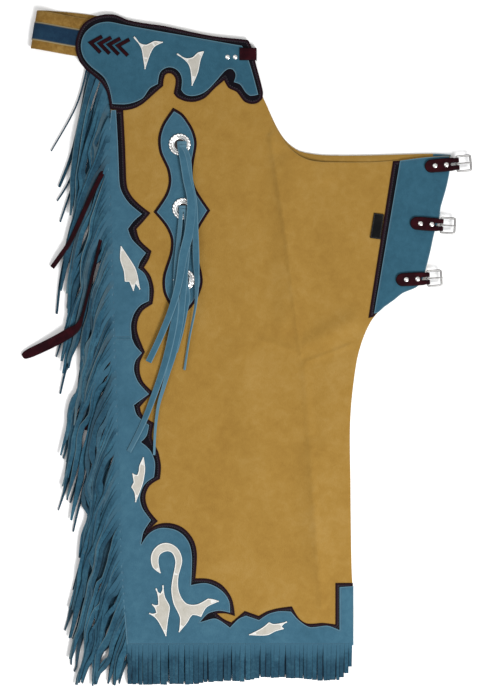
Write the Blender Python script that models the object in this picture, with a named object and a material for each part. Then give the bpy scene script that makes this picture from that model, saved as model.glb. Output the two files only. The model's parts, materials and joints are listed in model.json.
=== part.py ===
"""A pair of fringed batwing chaps in suede, folded at the front and laid flat on a surface.

The wearer's right leg lies on top with its outer face up. The left leg lies under it, face down.
Outlines are read on a squared board like a pattern maker's: x counts squares to the right and y
counts squares down from the top left corner. Heights and thicknesses are real sizes in metres.
"""
import functools
import math
import random

import bmesh
import bpy
from mathutils import Vector
from mathutils.geometry import delaunay_2d_cdt

# Driving dimensions, in metres
SQUARE = 0.0015             # one square of the pattern board
BOARD_SQUARES_HIGH = 700    # the board is 750 mm wide and 1050 mm high
SEAM_GAP = 0.0003           # every piece keeps this distance from its neighbour
HIDDEN_THICK = 0.0040       # the left leg's layers under the right leg
PANEL_THICK = 0.0017        # the leather of the leg itself
WELT_THICK = 0.0011         # the dark leather that shows as a rim
OVERLAY_THICK = 0.0014      # the blue overlays
INLAY_THICK = 0.0008        # the white leaves, scroll, chevrons and label
CURVE_ERROR = 0.0005        # how far an outline's chords may leave its curve

# Heights of the layers, each a seam gap above the one below it
PANEL_LOW = HIDDEN_THICK + SEAM_GAP
PANEL_HIGH = PANEL_LOW + PANEL_THICK
WELT_LOW = PANEL_HIGH + SEAM_GAP
WELT_HIGH = WELT_LOW + WELT_THICK
OVERLAY_LOW = WELT_HIGH + SEAM_GAP
OVERLAY_HIGH = OVERLAY_LOW + OVERLAY_THICK
INLAY_LOW = OVERLAY_HIGH + SEAM_GAP
INLAY_HIGH = INLAY_LOW + INLAY_THICK

# Fringe
STRIP_WIDTH = 0.0050        # the narrow strip that the strands hang from
STRIP_THICK = 0.0014
STRAND_THICK = 0.0012
FRINGE_FLOOR = 0.0002       # the lowest strands end this far above the surface
HEM_LINE = 685              # board row where every strand is cut off
HEM_SWAY = math.radians(1.6)
# Number of strands and the share of their pitch that a root takes up
SIDE_STRANDS = (84, 0.54)
SIDE_UNDER_STRANDS = (44, 0.27)
HEM_STRANDS = (56, 0.84)
HEM_UNDER_STRANDS = (32, 0.76)

# Belt
BELT_THICK = 0.0017
BELT_WIDTH = 0.0580
BELT_STRIPE_WIDTH = 0.0280
BELT_STRIPE_THICK = 0.0005

# Conchos and rivets
CONCHO_RADIUS = 0.0170
CONCHO_RISE = 0.0030
RIVET_RADIUS = 0.0034
RIVET_RISE = 0.0014

# Buckles and their tabs
TAB_PLY = 0.0016            # one ply of the folded tab
TAB_WIDTH = 0.0195
LOOP_BORE = 0.0018          # radius of the loop's inside, round the heel bar
ROD_RADIUS = 0.0013         # the buckle frame's rod
FRAME_LENGTH = 0.0205       # between rod centres, along the tab
FRAME_WIDTH = 0.0225        # between rod centres, across the tab
TONGUE_WIDTH = 0.0026
BUCKLE_AXIS_HIGH = OVERLAY_HIGH + SEAM_GAP + TAB_PLY

C = "corner"
S = "smooth"

# The fringed outer edge of a leg, from the yoke down to the hem. Columns: x, y, kind.
OUTER_EDGE = [
    (89, 65.5, C), (95, 70, S), (101, 77, S), (105, 88, S), (107, 105, S), (108, 150, S), (109, 200, S),
    (111, 260, S), (113, 330, S), (116, 420, S), (119, 500, S), (122, 580, S), (127, 645, C),
]
# The leg's top under the yoke and its front edge, down to the crotch. Columns: x, y, kind.
FRONT_EDGE = [
    (135, 70, C), (135, 24, C), (164, 28, C), (240, 43, C), (247, 44, C), (251, 62, C), (262, 95, S),
    (268, 108, S), (273, 123, S), (279, 133, S), (287, 145, S), (299, 155.5, S), (311, 160.5, S),
    (326, 162, S), (369, 162, S), (393, 160.5, S), (425, 157, S), (450, 155.5, C),
]
# The buckle edge of the thigh and the inner edge, down to the hem. Columns: x, y, kind.
INNER_EDGE = [
    (450, 165, S), (448, 180, S), (444.5, 194, S), (440.5, 208, S), (439.5, 216, S), (434, 234, S),
    (431, 248, S), (426, 268, S), (422, 280, S), (416, 287.5, S), (403, 293, S), (394, 300, S),
    (383, 308, S), (374, 317, S), (367, 329, S), (361.5, 343, S), (357, 360, S), (354, 380, S),
    (351.5, 402, S), (350, 430, S), (350.5, 480, S), (351, 530, S), (352, 575, S), (353.5, 600, C),
]
# The left leg shows past the front edge between the crotch and the buckles. Columns: x, y, kind.
HIDDEN_FRONT_EDGE = [
    (135, 70, C), (135, 25, C), (164, 29, C), (240, 44, C), (246, 45, C), (250, 62, C), (261, 94, S),
    (268, 107, S), (275, 122, S), (281, 133, S), (288, 142, S), (299, 150, S), (311, 153, S),
    (326, 154.5, S), (392, 154, S), (436, 153, S), (451.5, 154, C),
]
HEM_ROW = 645               # board row of the hem's sewn line
HEM_RIGHT = 353.5           # board column where the hem ends at the inner edge
HEM_LEFT = 127              # board column where the hem ends at the outer edge
LEG_HEM_LEFT = 131          # the leg's own hem starts beside the side fringe's strip
HEM_STRIP_LEFT = 131.5
LEG_HEM_ROOM = 4            # squares between the leg's own lower edge and the hem line

# The blue border's scalloped edge, above and below its piecing seam. Columns: x, y, kind.
BORDER_SEAM_ROW = 338
BORDER_SEAM_LEFT = 113.3    # board column where the seam meets the outer edge
BORDER_TOP_ROW = 111.2
BORDER_TOP_LEFT = 107.2
WELT_INSET = 0.8            # squares that the rim stays back from the outer edge
CUT_MARGIN = 0.0005         # points nearer than this to a cut line give way to its corner
SCALLOPS_UPPER = [
    (116, BORDER_TOP_ROW, C), (118, 145, S), (119, 172, S), (120, 186, S), (124, 196, S), (131, 205, S),
    (142, 214, C), (134, 221, S), (128, 229, C), (132, 239, S), (146, 253, C), (140, 262, S),
    (138, 268, C), (144, 273, S), (149, 285, S), (149, 301, C), (141, 305, S), (134, 314, S),
    (131, 326, S), (132, BORDER_SEAM_ROW, C),
]
SCALLOPS_LOWER = [
    (132, BORDER_SEAM_ROW, C), (135, 345, S), (142, 353, C), (136, 360, S), (134, 370, S),
    (139, 383, S), (149, 394, C), (134, 405, C), (137, 415, S), (149, 425, C), (146.5, 436, S),
    (141, 442, C), (150, 450, S), (155, 463, S), (154, 477, C), (145, 484, S), (140, 497, S),
    (143, 509, S), (151, 520, C), (143.5, 532, S), (141, 545, C), (148, 534.5, S), (160, 528, S),
    (178, 531, S), (189, 543, S), (192, 560, S), (191, 585, C), (206, 583, S), (221, 590, S),
    (229, 601, S), (230, 612.5, C), (220, 610.5, S), (208, 613.5, S), (200, 622, C), (207, 620, S),
    (216, 618.5, S), (230, 627.5, C), (239, 618.5, S), (246, 615.5, C), (259, 620, C), (268, 614, S),
    (280, 611, S), (291, 611.5, C), (297, 618.5, S), (310, 627, S), (327, 625.5, S), (339.5, 630, C),
    (339.5, 587, C), (353.5, 586, C),
]
# The dark rim's own edge against the tan leg. Columns: x, y, kind.
BORDER_WELT = [
    (123.2, BORDER_TOP_ROW, C), (125, 145, S), (126, 172, S), (127.5, 188, S), (134, 199, S),
    (142, 206.5, S), (150.5, 213, C), (143, 222, S), (136.5, 229, C), (140, 240, S), (151.5, 251, C),
    (149, 259, S), (144, 267.5, C), (150, 275, S), (154, 290, S), (152.5, 304, C), (143.5, 310, S),
    (138, 320, S), (137.5, 332, S), (145, 352, C), (140.5, 361, S), (140, 373, S), (144, 383, S),
    (153, 392, C), (140, 407, C), (142.5, 415, S), (154, 423, C), (152, 438, C), (158, 451, S),
    (161, 467, S), (160, 479, C), (150, 485.5, S), (145.5, 497, S), (149, 510, S), (158, 521, C),
    (148, 531, C), (156, 525, S), (170, 523.2, S), (184, 528.5, S), (194, 541, S), (197, 556, S),
    (195.5, 578.5, C), (209, 579, S), (222, 585, S), (232, 599, S), (235, 616, C), (226, 613.5, S),
    (217, 613.5, C), (224, 619, S), (231.5, 622.5, C), (238, 617, S), (245, 611, C), (259, 616, C),
    (267, 611.5, S), (280, 608, S), (292, 606.5, C), (298, 617, S), (307, 623.5, S), (322, 623, S),
    (335.5, 624.5, C), (335.5, 583, C), (353, 583, C),
]
# The yoke's blue leather and its dark rim. Columns: x, y, kind.
YOKE_EDGE = [
    (81, 47, S), (83, 37, S), (88, 30, S), (97, 24, S), (109, 22, S), (122, 24.5, C), (242, 46, C),
    (248.7, 61, C), (258.2, 94.6, C), (250, 95.8, S), (244.5, 91, S), (240, 84.5, S), (233.8, 82.2, C),
    (235.7, 75.5, S), (232.5, 69.5, S), (226.7, 69.8, S), (217.5, 79.5, S), (207, 90.5, S),
    (198, 95.2, S), (187.5, 95.5, S), (181.2, 89.9, S), (182, 81, S), (180, 73.5, S), (174, 68.3, S),
    (166.5, 67.8, S), (160, 73, S), (157.8, 84, C), (150, 88.4, S), (143.5, 97.5, S), (134, 102.5, S),
    (124, 104.4, S), (112.5, 104, C), (110, 91, S), (104, 77.5, S), (92, 67.5, S), (84, 58, S),
]
YOKE_WELT = [
    (75.5, 47, S), (77.5, 35, S), (83, 24.5, S), (92, 18, S), (104, 14.6, S), (116, 15, S),
    (128, 20, S), (140, 22, C), (164, 26, S), (212, 36, S), (240, 39.1, S), (248.2, 40, C),
    (252.4, 49, S), (256, 64, S), (262, 87, S), (262.4, 98.5, S), (254, 104, S), (243.9, 101.3, S),
    (236.5, 92, S), (228.6, 88, S), (224.2, 80.4, C), (214.2, 88.9, S), (205, 98, S), (193, 102, S),
    (181, 99.8, S), (173.8, 93.5, S), (175.7, 80, S), (171, 73.5, S), (165, 75.2, S), (163.2, 86, C),
    (154, 94, S), (144, 103, S), (134, 108.5, S), (122, 110.4, S), (110, 109, C), (107.3, 94, S),
    (100, 81.5, S), (88, 71.5, S), (79, 60.5, S),
]
# The concho plate's blue leather. Columns: x, y, kind.
CONCHO_PLATE_EDGE = [
    (174, 111.5, C), (165.5, 124, S), (161, 138, S), (162.5, 153, S), (169, 167, S), (171.5, 181, S),
    (168, 195, S), (157, 212, C), (167, 224, S), (173.5, 239, S), (172, 256, S), (166, 275, S),
    (166.5, 293, S), (180, 316, C), (194, 299, S), (200, 282, S), (197.5, 266, S), (192, 245, S),
    (195.5, 230, S), (207, 210.5, C), (196.5, 195, S), (190.5, 180, S), (191.5, 160, S),
    (194, 144, S), (190.5, 130, S), (180.5, 115.5, S),
]
CONCHO_PLATE_RIM = 0.0040
# Conchos from the top. Columns: x, y.
CONCHO_CENTRES = [(179.8, 144.7), (183.3, 209), (184, 280)]

# The facing of the thigh, its welt and the bare label. Columns: x, y, kind.
FACING_EDGE = [(400, 160.8, C), (425, 157.6, S), (449.2, 156.2, C)]
FACING_INNER_END = (374, 313.5)
FACING_WELT_TOP = [(393, 161.2), (448, 157.5)]
FACING_WELT_END = (368.5, 318)
FACING_WELT_INSET = 0.0008
LABEL_EDGE = [(374, 213, C), (384, 214.5, C), (380.5, 239.5, C), (370, 238, C)]

# Plain motifs on the blue leather, each drawn as one closed outline. Columns: x, y, kind.
LEAF_OUTLINES = {
    "yoke_leaf_1": [
        (134, 37, C), (140, 43.5, S), (147, 45, S), (154.5, 41.5, S), (163, 42.5, C), (154.5, 47, S),
        (149.5, 56, S), (145, 69.5, C), (143, 56, S), (141.5, 48.5, S),
    ],
    "yoke_leaf_2": [
        (177, 54, C), (185.5, 58.5, S), (193, 57.5, S), (198, 53, S), (204, 51.5, C), (200.5, 60, S),
        (198, 72, S), (192, 86, C), (191, 73, S), (188, 63.5, S),
    ],
    "leaf_upper": [
        (121, 246, C), (129, 258, S), (136, 270, S), (140, 289.5, C), (135.5, 283, C), (133.5, 291, C),
        (129.5, 281.5, C), (125, 281.5, C), (124, 271, S), (120.5, 260, S),
    ],
    "leaf_middle": [
        (143.5, 457, C), (145, 468, S), (142.5, 484, S), (135.6, 502, C), (134.5, 492, S),
        (131.5, 487, C), (134, 482, S), (132.5, 473, C), (137.5, 475, S), (139.5, 466, S),
    ],
    "scroll": [
        (160.6, 573, C), (153, 567, S), (151.5, 555, S), (158, 545.5, S), (168, 543, S), (178, 549, S),
        (182, 561, S), (178.5, 575, S), (178.5, 590, S), (186, 603, S), (198, 604, S), (208, 598.5, S),
        (219, 601, C), (206.5, 607, S), (201, 616.5, C), (192.5, 614.5, S), (188, 621, S),
        (179, 632, C), (180, 617, S), (174, 604, S), (171.5, 588, S), (174, 572, S), (175.5, 561, S),
        (172, 552.5, S), (166, 551, S), (159.5, 555, S), (158.5, 563.5, S),
    ],
    "leaf_corner": [
        (163, 585, C), (165, 597, S), (169.5, 606, S), (168, 619, S), (166, 636, C), (161, 627, S),
        (156, 618, S), (149, 613, C), (156.5, 612.5, S), (152, 604, C), (158.5, 604.5, S),
        (156, 588, C), (160.5, 593.5, S),
    ],
    "leaf_hem": [
        (249, 634.5, C), (259, 629.5, S), (264.5, 626, S), (269, 622, C), (273, 623.8, S),
        (287, 621.5, C), (281.5, 626, S), (284, 628.5, C), (275, 631, S), (268, 634.5, S),
    ],
}
# Laced chevrons on the yoke: point, upper end and lower end, then the step to the next one.
CHEVRON_POINT = (90.8, 43.0)
CHEVRON_UPPER = (101.9, 36.9)
CHEVRON_LOWER = (100.3, 52.6)
CHEVRON_STEP = (9.1, 1.0)
CHEVRON_WIDTH = 0.0045
CHEVRON_COUNT = 4
YOKE_RIVETS = [(227.6, 57.3), (235.3, 57.3)]

# The front strap lies on the yoke and turns down over the folded front edge.
STRAP_LEFT = 239.5
STRAP_RIGHT = 256.8
STRAP_TOP = 48.0
STRAP_BOTTOM = 60.5
STRAP_THICK = 0.0016

# Soft creases of the tan leather. Columns: x and y of both ends, height and half width in metres.
CREASES = [
    (286, 168, 291, 318, 0.0052, 0.034),
    (313, 455, 318, 572, 0.0044, 0.030),
    (236, 352, 262, 470, 0.0026, 0.040),
    (280, 140, 322, 171, 0.0040, 0.026),
]
CREASE_FADE = 0.030         # a crease dies away over this length past its ends
CREASE_GRID = 0.017

# The belt, from its fold at the left. Columns: distance from the fold, height, shift across.
BELT_FOLD = (32.2, 30.6)
BELT_SLOPE = math.radians(9.4)
BELT_PATH = [
    (0.1440, 0.00175, 0.0085), (0.0700, 0.00175, 0.0065), (0.0260, 0.00180, 0.0035),
    (0.0090, 0.00300, 0.0015), (0.0035, 0.00640, 0.0), (0.0060, 0.01020, 0.0),
    (0.0150, 0.01200, 0.0), (0.0300, 0.00980, 0.0), (0.0450, 0.00640, 0.0),
    (0.0600, 0.00440, 0.0), (0.0800, 0.00425, 0.0), (0.1440, 0.00425, 0.0),
]

# Leg straps that leave the outer edge under the fringe. Columns: x, y, height of the middle, width.
STRAP_ROUTES = {
    "leg_strap_1": [
        (108.3, 164, 0.0030, 0.011), (104, 169, 0.0025, 0.012), (98, 181, 0.0025, 0.013),
        (88, 203, 0.0025, 0.012), (71, 240, 0.0025, 0.009), (58, 259, 0.0022, 0.008),
        (52, 267, 0.0012, 0.007),
    ],
    "leg_strap_2": [
        (107.5, 212, 0.0030, 0.010), (104, 224, 0.0025, 0.011), (99, 244, 0.0025, 0.011),
        (93, 275, 0.0025, 0.010), (84, 322, 0.0025, 0.013), (73, 342, 0.0025, 0.015),
        (60, 346.5, 0.0024, 0.015), (47, 350, 0.0013, 0.015), (26, 356, 0.0010, 0.013),
        (22, 357.5, 0.0010, 0.006),
    ],
    "leg_strap_3": [
        (109.8, 288, 0.0030, 0.010), (106, 302, 0.0024, 0.011), (100, 350, 0.0025, 0.012),
        (92, 400, 0.0025, 0.012), (86, 430, 0.0025, 0.010),
    ],
}
LEG_STRAP_THICK = 0.0015

# Thongs of the conchos. Columns: x, y, height of the middle, width.
THONG_THICK = 0.0012
KNOT_COVER = 0.0002         # the knot's leather above the thongs that leave it
KNOT_LOW = OVERLAY_HIGH + 2 * SEAM_GAP + 0.0018
KNOT_BACK = 0.0045          # the knot reaches this far behind the concho's centre
KNOT_LEAST_WIDTH = 0.0092
KNOT_SIDE = 0.0004          # the knot's leather beside the thongs
THONG_ROUTES = {
    "concho_ties_1": [
        [
            (179.0, 148.3, 0.0134, 0.005), (182, 158, 0.0138, 0.007), (186, 180, 0.0128, 0.009),
            (189, 203, 0.0156, 0.010), (186.5, 235, 0.0160, 0.010), (180, 262, 0.0174, 0.009),
            (172, 292, 0.0168, 0.009), (160, 335, 0.0128, 0.009), (150, 362, 0.0118, 0.008),
        ],
        [
            (183.0, 148.3, 0.0134, 0.005), (188, 158, 0.0138, 0.006), (194, 180, 0.0128, 0.006),
            (198.5, 203, 0.0156, 0.007), (196.5, 238, 0.0160, 0.008), (199, 275, 0.0168, 0.005),
            (196, 305, 0.0150, 0.004), (189, 338, 0.0106, 0.004), (184.5, 370, 0.0092, 0.004),
        ],
    ],
    "concho_ties_2": [
        [
            (181.2, 212.6, 0.0134, 0.005), (180, 228, 0.0136, 0.007), (181, 246, 0.0138, 0.008),
            (180.5, 268, 0.0152, 0.008), (179, 296, 0.0150, 0.009), (176, 320, 0.0132, 0.009),
            (170, 350, 0.0110, 0.009), (158, 385, 0.0106, 0.009), (145, 418, 0.0106, 0.009),
            (129, 451, 0.0106, 0.005),
        ],
        [
            (185.4, 212.6, 0.0134, 0.005), (188.5, 228, 0.0136, 0.007), (189, 246, 0.0138, 0.008),
            (189.5, 268, 0.0152, 0.008), (188, 296, 0.0150, 0.009), (184.5, 320, 0.0132, 0.009),
            (179, 350, 0.0110, 0.009), (168.5, 385, 0.0106, 0.007), (160, 415, 0.0106, 0.006),
            (154.5, 455, 0.0106, 0.004),
        ],
    ],
    "concho_ties_3": [
        [
            (182.0, 283.6, 0.0134, 0.005), (179.5, 296, 0.0126, 0.008), (176.5, 312, 0.0108, 0.009),
            (173.5, 330, 0.0088, 0.009), (169.5, 350, 0.0084, 0.008),
        ],
        [
            (186.0, 283.6, 0.0134, 0.005), (188, 296, 0.0126, 0.008), (186, 312, 0.0108, 0.009),
            (182, 330, 0.0088, 0.009), (177.5, 352, 0.0084, 0.008),
        ],
    ],
}

# Buckle tabs from the top. Columns: left end x, left end y, tilt in degrees, length to the heel bar.
TABS = [
    (424.6, 166.9, 5.0, 0.0485),
    (410.0, 223.0, -4.0, 0.0465),
    (395.8, 280.2, 3.0, 0.0475),
]
TAB_RIVETS = (0.0155, 0.0325)     # distances of the two rivets from the tab's left end
TAB_SLOT = 0.0085                 # the tongue's slot reaches this far back from the heel bar
TAB_SLOT_WIDTH = 0.0042
TAB_NECK = 0.0040                 # the tab narrows this far before the heel bar
TAB_NECK_WIDTH = 0.0180


def clear_scene():
    for old in list(bpy.data.objects):
        bpy.data.objects.remove(old, do_unlink=True)


def board(x, y):
    """A place on the pattern board, in metres, with y pointing up."""
    return Vector((x * SQUARE, (BOARD_SQUARES_HIGH - y) * SQUARE))


def leather(name, colour, roughness=0.85, metallic=0.0):
    material = bpy.data.materials.new(name)
    material.use_nodes = True
    shader = material.node_tree.nodes["Principled BSDF"]
    shader.inputs["Base Color"].default_value = (*colour, 1.0)
    shader.inputs["Roughness"].default_value = roughness
    shader.inputs["Metallic"].default_value = metallic
    material.diffuse_color = (*colour, 1.0)
    return material


# Colour, roughness and metallic value of each finish
FINISHES = {
    "tan": ((0.36, 0.20, 0.045), 0.9, 0.0),
    "blue": ((0.050, 0.135, 0.205), 0.9, 0.0),
    "fringe_blue": ((0.026, 0.090, 0.142), 0.9, 0.0),
    "deep_blue": ((0.012, 0.045, 0.090), 0.85, 0.0),
    "dark": ((0.010, 0.006, 0.013), 0.45, 0.0),
    "burgundy": ((0.034, 0.004, 0.009), 0.4, 0.0),
    "white": ((0.75, 0.70, 0.60), 0.7, 0.0),
    "nickel": ((0.70, 0.69, 0.66), 0.28, 1.0),
}


def finish(key, piece):
    colour, roughness, metallic = FINISHES[key]
    return leather(f"{key}_{piece}", colour, roughness, metallic)


def add_piece(name, mesh_builder, key):
    """Turn a bmesh into a named object with its own material."""
    bmesh.ops.recalc_face_normals(mesh_builder, faces=mesh_builder.faces)
    if mesh_builder.calc_volume(signed=True) < 0:
        bmesh.ops.reverse_faces(mesh_builder, faces=mesh_builder.faces)
    mesh = bpy.data.meshes.new(name)
    mesh_builder.to_mesh(mesh)
    mesh_builder.free()
    mesh.materials.append(finish(key, name))
    piece = bpy.data.objects.new(name, mesh)
    bpy.context.scene.collection.objects.link(piece)
    return piece


def curve(table, closed=False, error=CURVE_ERROR):
    """Follow a table of corner and smooth points with straight or rounded stretches."""
    points = [board(x, y) for x, y, _ in table]
    kinds = [kind for _, _, kind in table]
    count = len(points)
    spans = count if closed else count - 1

    def tangent(index, leaving):
        ends = index == 0 or index == count - 1
        if kinds[index] == C or (ends and not closed):
            other = index + 1 if leaving else index - 1
            step = points[other % count] - points[index]
            return step if leaving else -step
        return (points[(index + 1) % count] - points[index - 1]) / 2

    result = []
    for index in range(spans):
        after = (index + 1) % count
        start, end = points[index], points[after]
        pull = (end - start).length
        leave, arrive = tangent(index, True), tangent(after, False)
        leave = leave.normalized() * pull
        arrive = arrive.normalized() * pull
        sag = ((leave - arrive) / 8).length
        pieces = max(1, math.ceil(math.sqrt(sag / error)))
        for part in range(pieces):
            t = part / pieces
            result.append(
                start * (2 * t**3 - 3 * t**2 + 1)
                + leave * (t**3 - 2 * t**2 + t)
                + end * (3 * t**2 - 2 * t**3)
                + arrive * (t**3 - t**2)
            )
    if not closed:
        result.append(points[-1])
    return result


def shifted(points, distance, closed=False):
    """Move a line sideways: to its left for a positive distance."""
    count = len(points)
    result = []
    for index, point in enumerate(points):
        before = points[index - 1] if closed or index else point
        after = points[(index + 1) % count] if closed or index < count - 1 else point
        arriving = (point - before).normalized() if point != before else (after - point).normalized()
        leaving = (after - point).normalized() if after != point else arriving
        normal_in = Vector((-arriving.y, arriving.x))
        normal_out = Vector((-leaving.y, leaving.x))
        middle = (normal_in + normal_out).normalized()
        stretch = min(2.0, 1 / max(0.3, middle.dot(normal_in)))
        result.append(point + middle * distance * stretch)
    return result


def signed_area(loop):
    total = 0.0
    for index, point in enumerate(loop):
        after = loop[(index + 1) % len(loop)]
        total += point.x * after.y - after.x * point.y
    return total / 2


def outward(loop, distance):
    """Grow a closed loop, or shrink it for a negative distance."""
    side = -distance if signed_area(loop) > 0 else distance
    return shifted(loop, side, closed=True)


def flat_plate(name, loop, low, high, key):
    """A flat piece of leather of even thickness."""
    builder = bmesh.new()
    lower = [builder.verts.new((p.x, p.y, low)) for p in loop]
    upper = [builder.verts.new((p.x, p.y, high)) for p in loop]
    builder.faces.new(lower)
    builder.faces.new(upper)
    for index in range(len(loop)):
        after = (index + 1) % len(loop)
        builder.faces.new((lower[index], lower[after], upper[after], upper[index]))
    return add_piece(name, builder, key)


def layered_solid(name, loop, heights_and_insets, key):
    """A closed solid whose edge swells and narrows like stacked layers of leather."""
    builder = bmesh.new()
    rings = []
    for height, inset in heights_and_insets:
        ring = outward(loop, -inset) if inset else loop
        rings.append([builder.verts.new((p.x, p.y, height)) for p in ring])
    builder.faces.new(rings[0])
    builder.faces.new(rings[-1])
    for lower, upper in zip(rings, rings[1:]):
        for index in range(len(loop)):
            after = (index + 1) % len(loop)
            builder.faces.new((lower[index], lower[after], upper[after], upper[index]))
    return add_piece(name, builder, key)


def inside(point, loop):
    hit = False
    for index, start in enumerate(loop):
        end = loop[(index + 1) % len(loop)]
        if (start.y > point.y) != (end.y > point.y):
            across = start.x + (point.y - start.y) / (end.y - start.y) * (end.x - start.x)
            if across > point.x:
                hit = not hit
    return hit


def fill(loops, extra=()):
    """Triangles inside the first loop and outside the others, with extra points between."""
    points = []
    edges = []
    for loop in loops:
        first = len(points)
        points += [Vector((p.x, p.y)) for p in loop]
        edges += [(first + i, first + (i + 1) % len(loop)) for i in range(len(loop))]
    points += [Vector((p.x, p.y)) for p in extra]
    out_points, _, faces, *_ = delaunay_2d_cdt(points, edges, [], 1, 1e-7)
    kept = []
    for face in faces:
        middle = sum((out_points[i] for i in face), Vector((0.0, 0.0))) / len(face)
        if inside(middle, loops[0]) and not any(inside(middle, hole) for hole in loops[1:]):
            kept.append(face)
    return out_points, kept


def crease_lift(point):
    """How far the tan leather stands off the layer below it."""
    lift = 0.0
    for x0, y0, x1, y1, height, half_width in CREASES:
        start, end = board(x0, y0), board(x1, y1)
        along = end - start
        length = along.length
        along.normalize()
        offset = point - start
        distance = offset.dot(along)
        across = abs(offset.x * along.y - offset.y * along.x)
        beyond = max(0.0, -distance, distance - length)
        if across < half_width and beyond < CREASE_FADE:
            ridge = math.cos(across / half_width * math.pi / 2) ** 2
            fade = math.cos(beyond / CREASE_FADE * math.pi / 2) ** 2
            lift = max(lift, height * ridge * fade)
    return lift


def creased_plate(name, loop, low, high, key):
    """The leg's leather: even thickness, raised along its soft creases."""
    xs = [p.x for p in loop]
    ys = [p.y for p in loop]
    extra = []
    rows = int((max(ys) - min(ys)) / CREASE_GRID)
    columns = int((max(xs) - min(xs)) / CREASE_GRID)
    for row in range(rows):
        for column in range(columns):
            shift = 0.5 * (row % 2)
            spot = Vector((min(xs) + (column + shift) * CREASE_GRID, min(ys) + row * CREASE_GRID))
            near = [spot + Vector(step) * CREASE_GRID for step in ((1, 0), (-1, 0), (0, 1), (0, -1))]
            raised = any(crease_lift(p) > 0.0002 for p in (spot, *near))
            clear = min((spot - p).length for p in loop) > 0.6 * CREASE_GRID
            if raised and clear and inside(spot, loop):
                extra.append(spot)
    points, faces = fill([loop], extra)
    builder = bmesh.new()
    lower = [builder.verts.new((p.x, p.y, low + crease_lift(p))) for p in points]
    upper = [builder.verts.new((p.x, p.y, high + crease_lift(p))) for p in points]
    for face in faces:
        builder.faces.new([lower[i] for i in face])
        builder.faces.new([upper[i] for i in face])
    count = len(loop)
    for index in range(count):
        after = (index + 1) % count
        builder.faces.new((lower[index], lower[after], upper[after], upper[index]))
    return add_piece(name, builder, key)


def along_curve(points, distance):
    """Place and direction at a distance along a line of points."""
    for start, end in zip(points, points[1:]):
        step = end - start
        if distance <= step.length:
            return start + step.normalized() * distance, step.normalized()
        distance -= step.length
    last = (points[-1] - points[-2]).normalized()
    return points[-1].copy(), last


def line_length(points):
    return sum((end - start).length for start, end in zip(points, points[1:]))


def comb(name, line, strands, root_share, low, high, route, key):
    """A narrow strip with one strand grown out of its face at each root.

    line runs along the strip's front face with the strip on its left. route(index, root) gives
    the rings of a strand, four corners each in the order of ribbon_ring.
    """
    builder = bmesh.new()
    pitch = line_length(line) / strands
    stations = []
    for index in range(strands):
        stations.append((index + 0.5 - root_share / 2) * pitch)
        stations.append((index + 0.5 + root_share / 2) * pitch)
    columns = []
    for distance in stations:
        place, direction = along_curve(line, distance)
        back = place + Vector((-direction.y, direction.x)) * STRIP_WIDTH
        columns.append(
            [
                builder.verts.new((place.x, place.y, low)),
                builder.verts.new((place.x, place.y, high)),
                builder.verts.new((back.x, back.y, high)),
                builder.verts.new((back.x, back.y, low)),
            ]
        )
    builder.faces.new(columns[0])
    builder.faces.new(columns[-1])
    for number, (one, two) in enumerate(zip(columns, columns[1:])):
        for side in range(4):
            if side == 0 and number % 2 == 0:
                continue
            after = (side + 1) % 4
            builder.faces.new((one[side], one[after], two[after], two[side]))
    for index in range(strands):
        one, two = columns[2 * index], columns[2 * index + 1]
        ring = [two[0], one[0], one[1], two[1]]
        root, _ = along_curve(line, (index + 0.5) * pitch)
        for corners in route(index, root):
            grown = [builder.verts.new(corner) for corner in corners]
            for side in range(4):
                after = (side + 1) % 4
                builder.faces.new((ring[side], ring[after], grown[after], grown[side]))
            ring = grown
        builder.faces.new(ring)
    return add_piece(name, builder, key)


def ribbon_ring(centre, heading, width, thick, tilt):
    """Four corners of a strand's section: across, then up, leaning by tilt."""
    across = Vector((-heading.y, heading.x, 0.0))
    lean = across * math.cos(tilt) + Vector((0.0, 0.0, math.sin(tilt)))
    up = -across * math.sin(tilt) + Vector((0.0, 0.0, math.cos(tilt)))
    half, rise = lean * width / 2, up * thick / 2
    return (centre + half - rise, centre - half - rise, centre - half + rise, centre + half + rise)


def down_heading(angle):
    """A direction on the board, measured from straight down towards the left."""
    return Vector((-math.sin(angle), -math.cos(angle)))


# Side fringe, a strand's course. Columns: distance from its root, heading in degrees, share of tilt.
STRAND_COURSE = [
    (0.0030, 62, 0.15), (0.0085, 34, 0.85), (0.0450, 22, 1.0), (0.2520, 15, 1.0),
]
HIDDEN_COURSE = [(0.0040, 58, 0.0), (0.0400, 26, 0.0), (0.2520, 16, 0.0)]


def side_strand(index, root, spec):
    """Rings of one strand of the side fringe, hanging down and a little outwards."""
    rng = random.Random(spec["seed"] + index)
    group = index % spec["group"]
    lean = math.radians(spec["lean_step"] * group - spec["lean_step"] * spec["group"] / 2)
    room = (root.y - board(0, HEM_LINE).y) / math.cos(math.radians(15)) - 0.002 * rng.random()
    reach = min(spec["length"] * (1 - 0.16 * rng.random()), room)
    place = root.copy()
    travelled = 0.0
    rings = []
    course = spec["course"]
    for number, (distance, degrees, share) in enumerate(course):
        distance = min(distance, reach)
        if distance - travelled < 0.0012:
            break
        angle = math.radians(degrees) + lean * min(1.0, distance / 0.06)
        heading = down_heading(angle)
        place = place + heading * (distance - travelled)
        travelled = distance
        level = spec["level"](place)
        height = spec["root_height"] + (level - spec["root_height"]) * min(1.0, share * 1.1)
        centre = Vector((place.x, place.y, height))
        width = spec["width"]
        if number == len(course) - 1 or distance == reach:
            width *= 0.8
        rings.append(ribbon_ring(centre, heading, width, STRAND_THICK, spec["tilt"] * share))
    return rings


def visible_level(place):
    """The visible fringe runs low under the yoke and higher below it."""
    row = BOARD_SQUARES_HIGH - place.y / SQUARE
    share = min(1.0, max(0.0, (row - 112) / 30))
    return 0.0039 + 0.0017 * share


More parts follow.
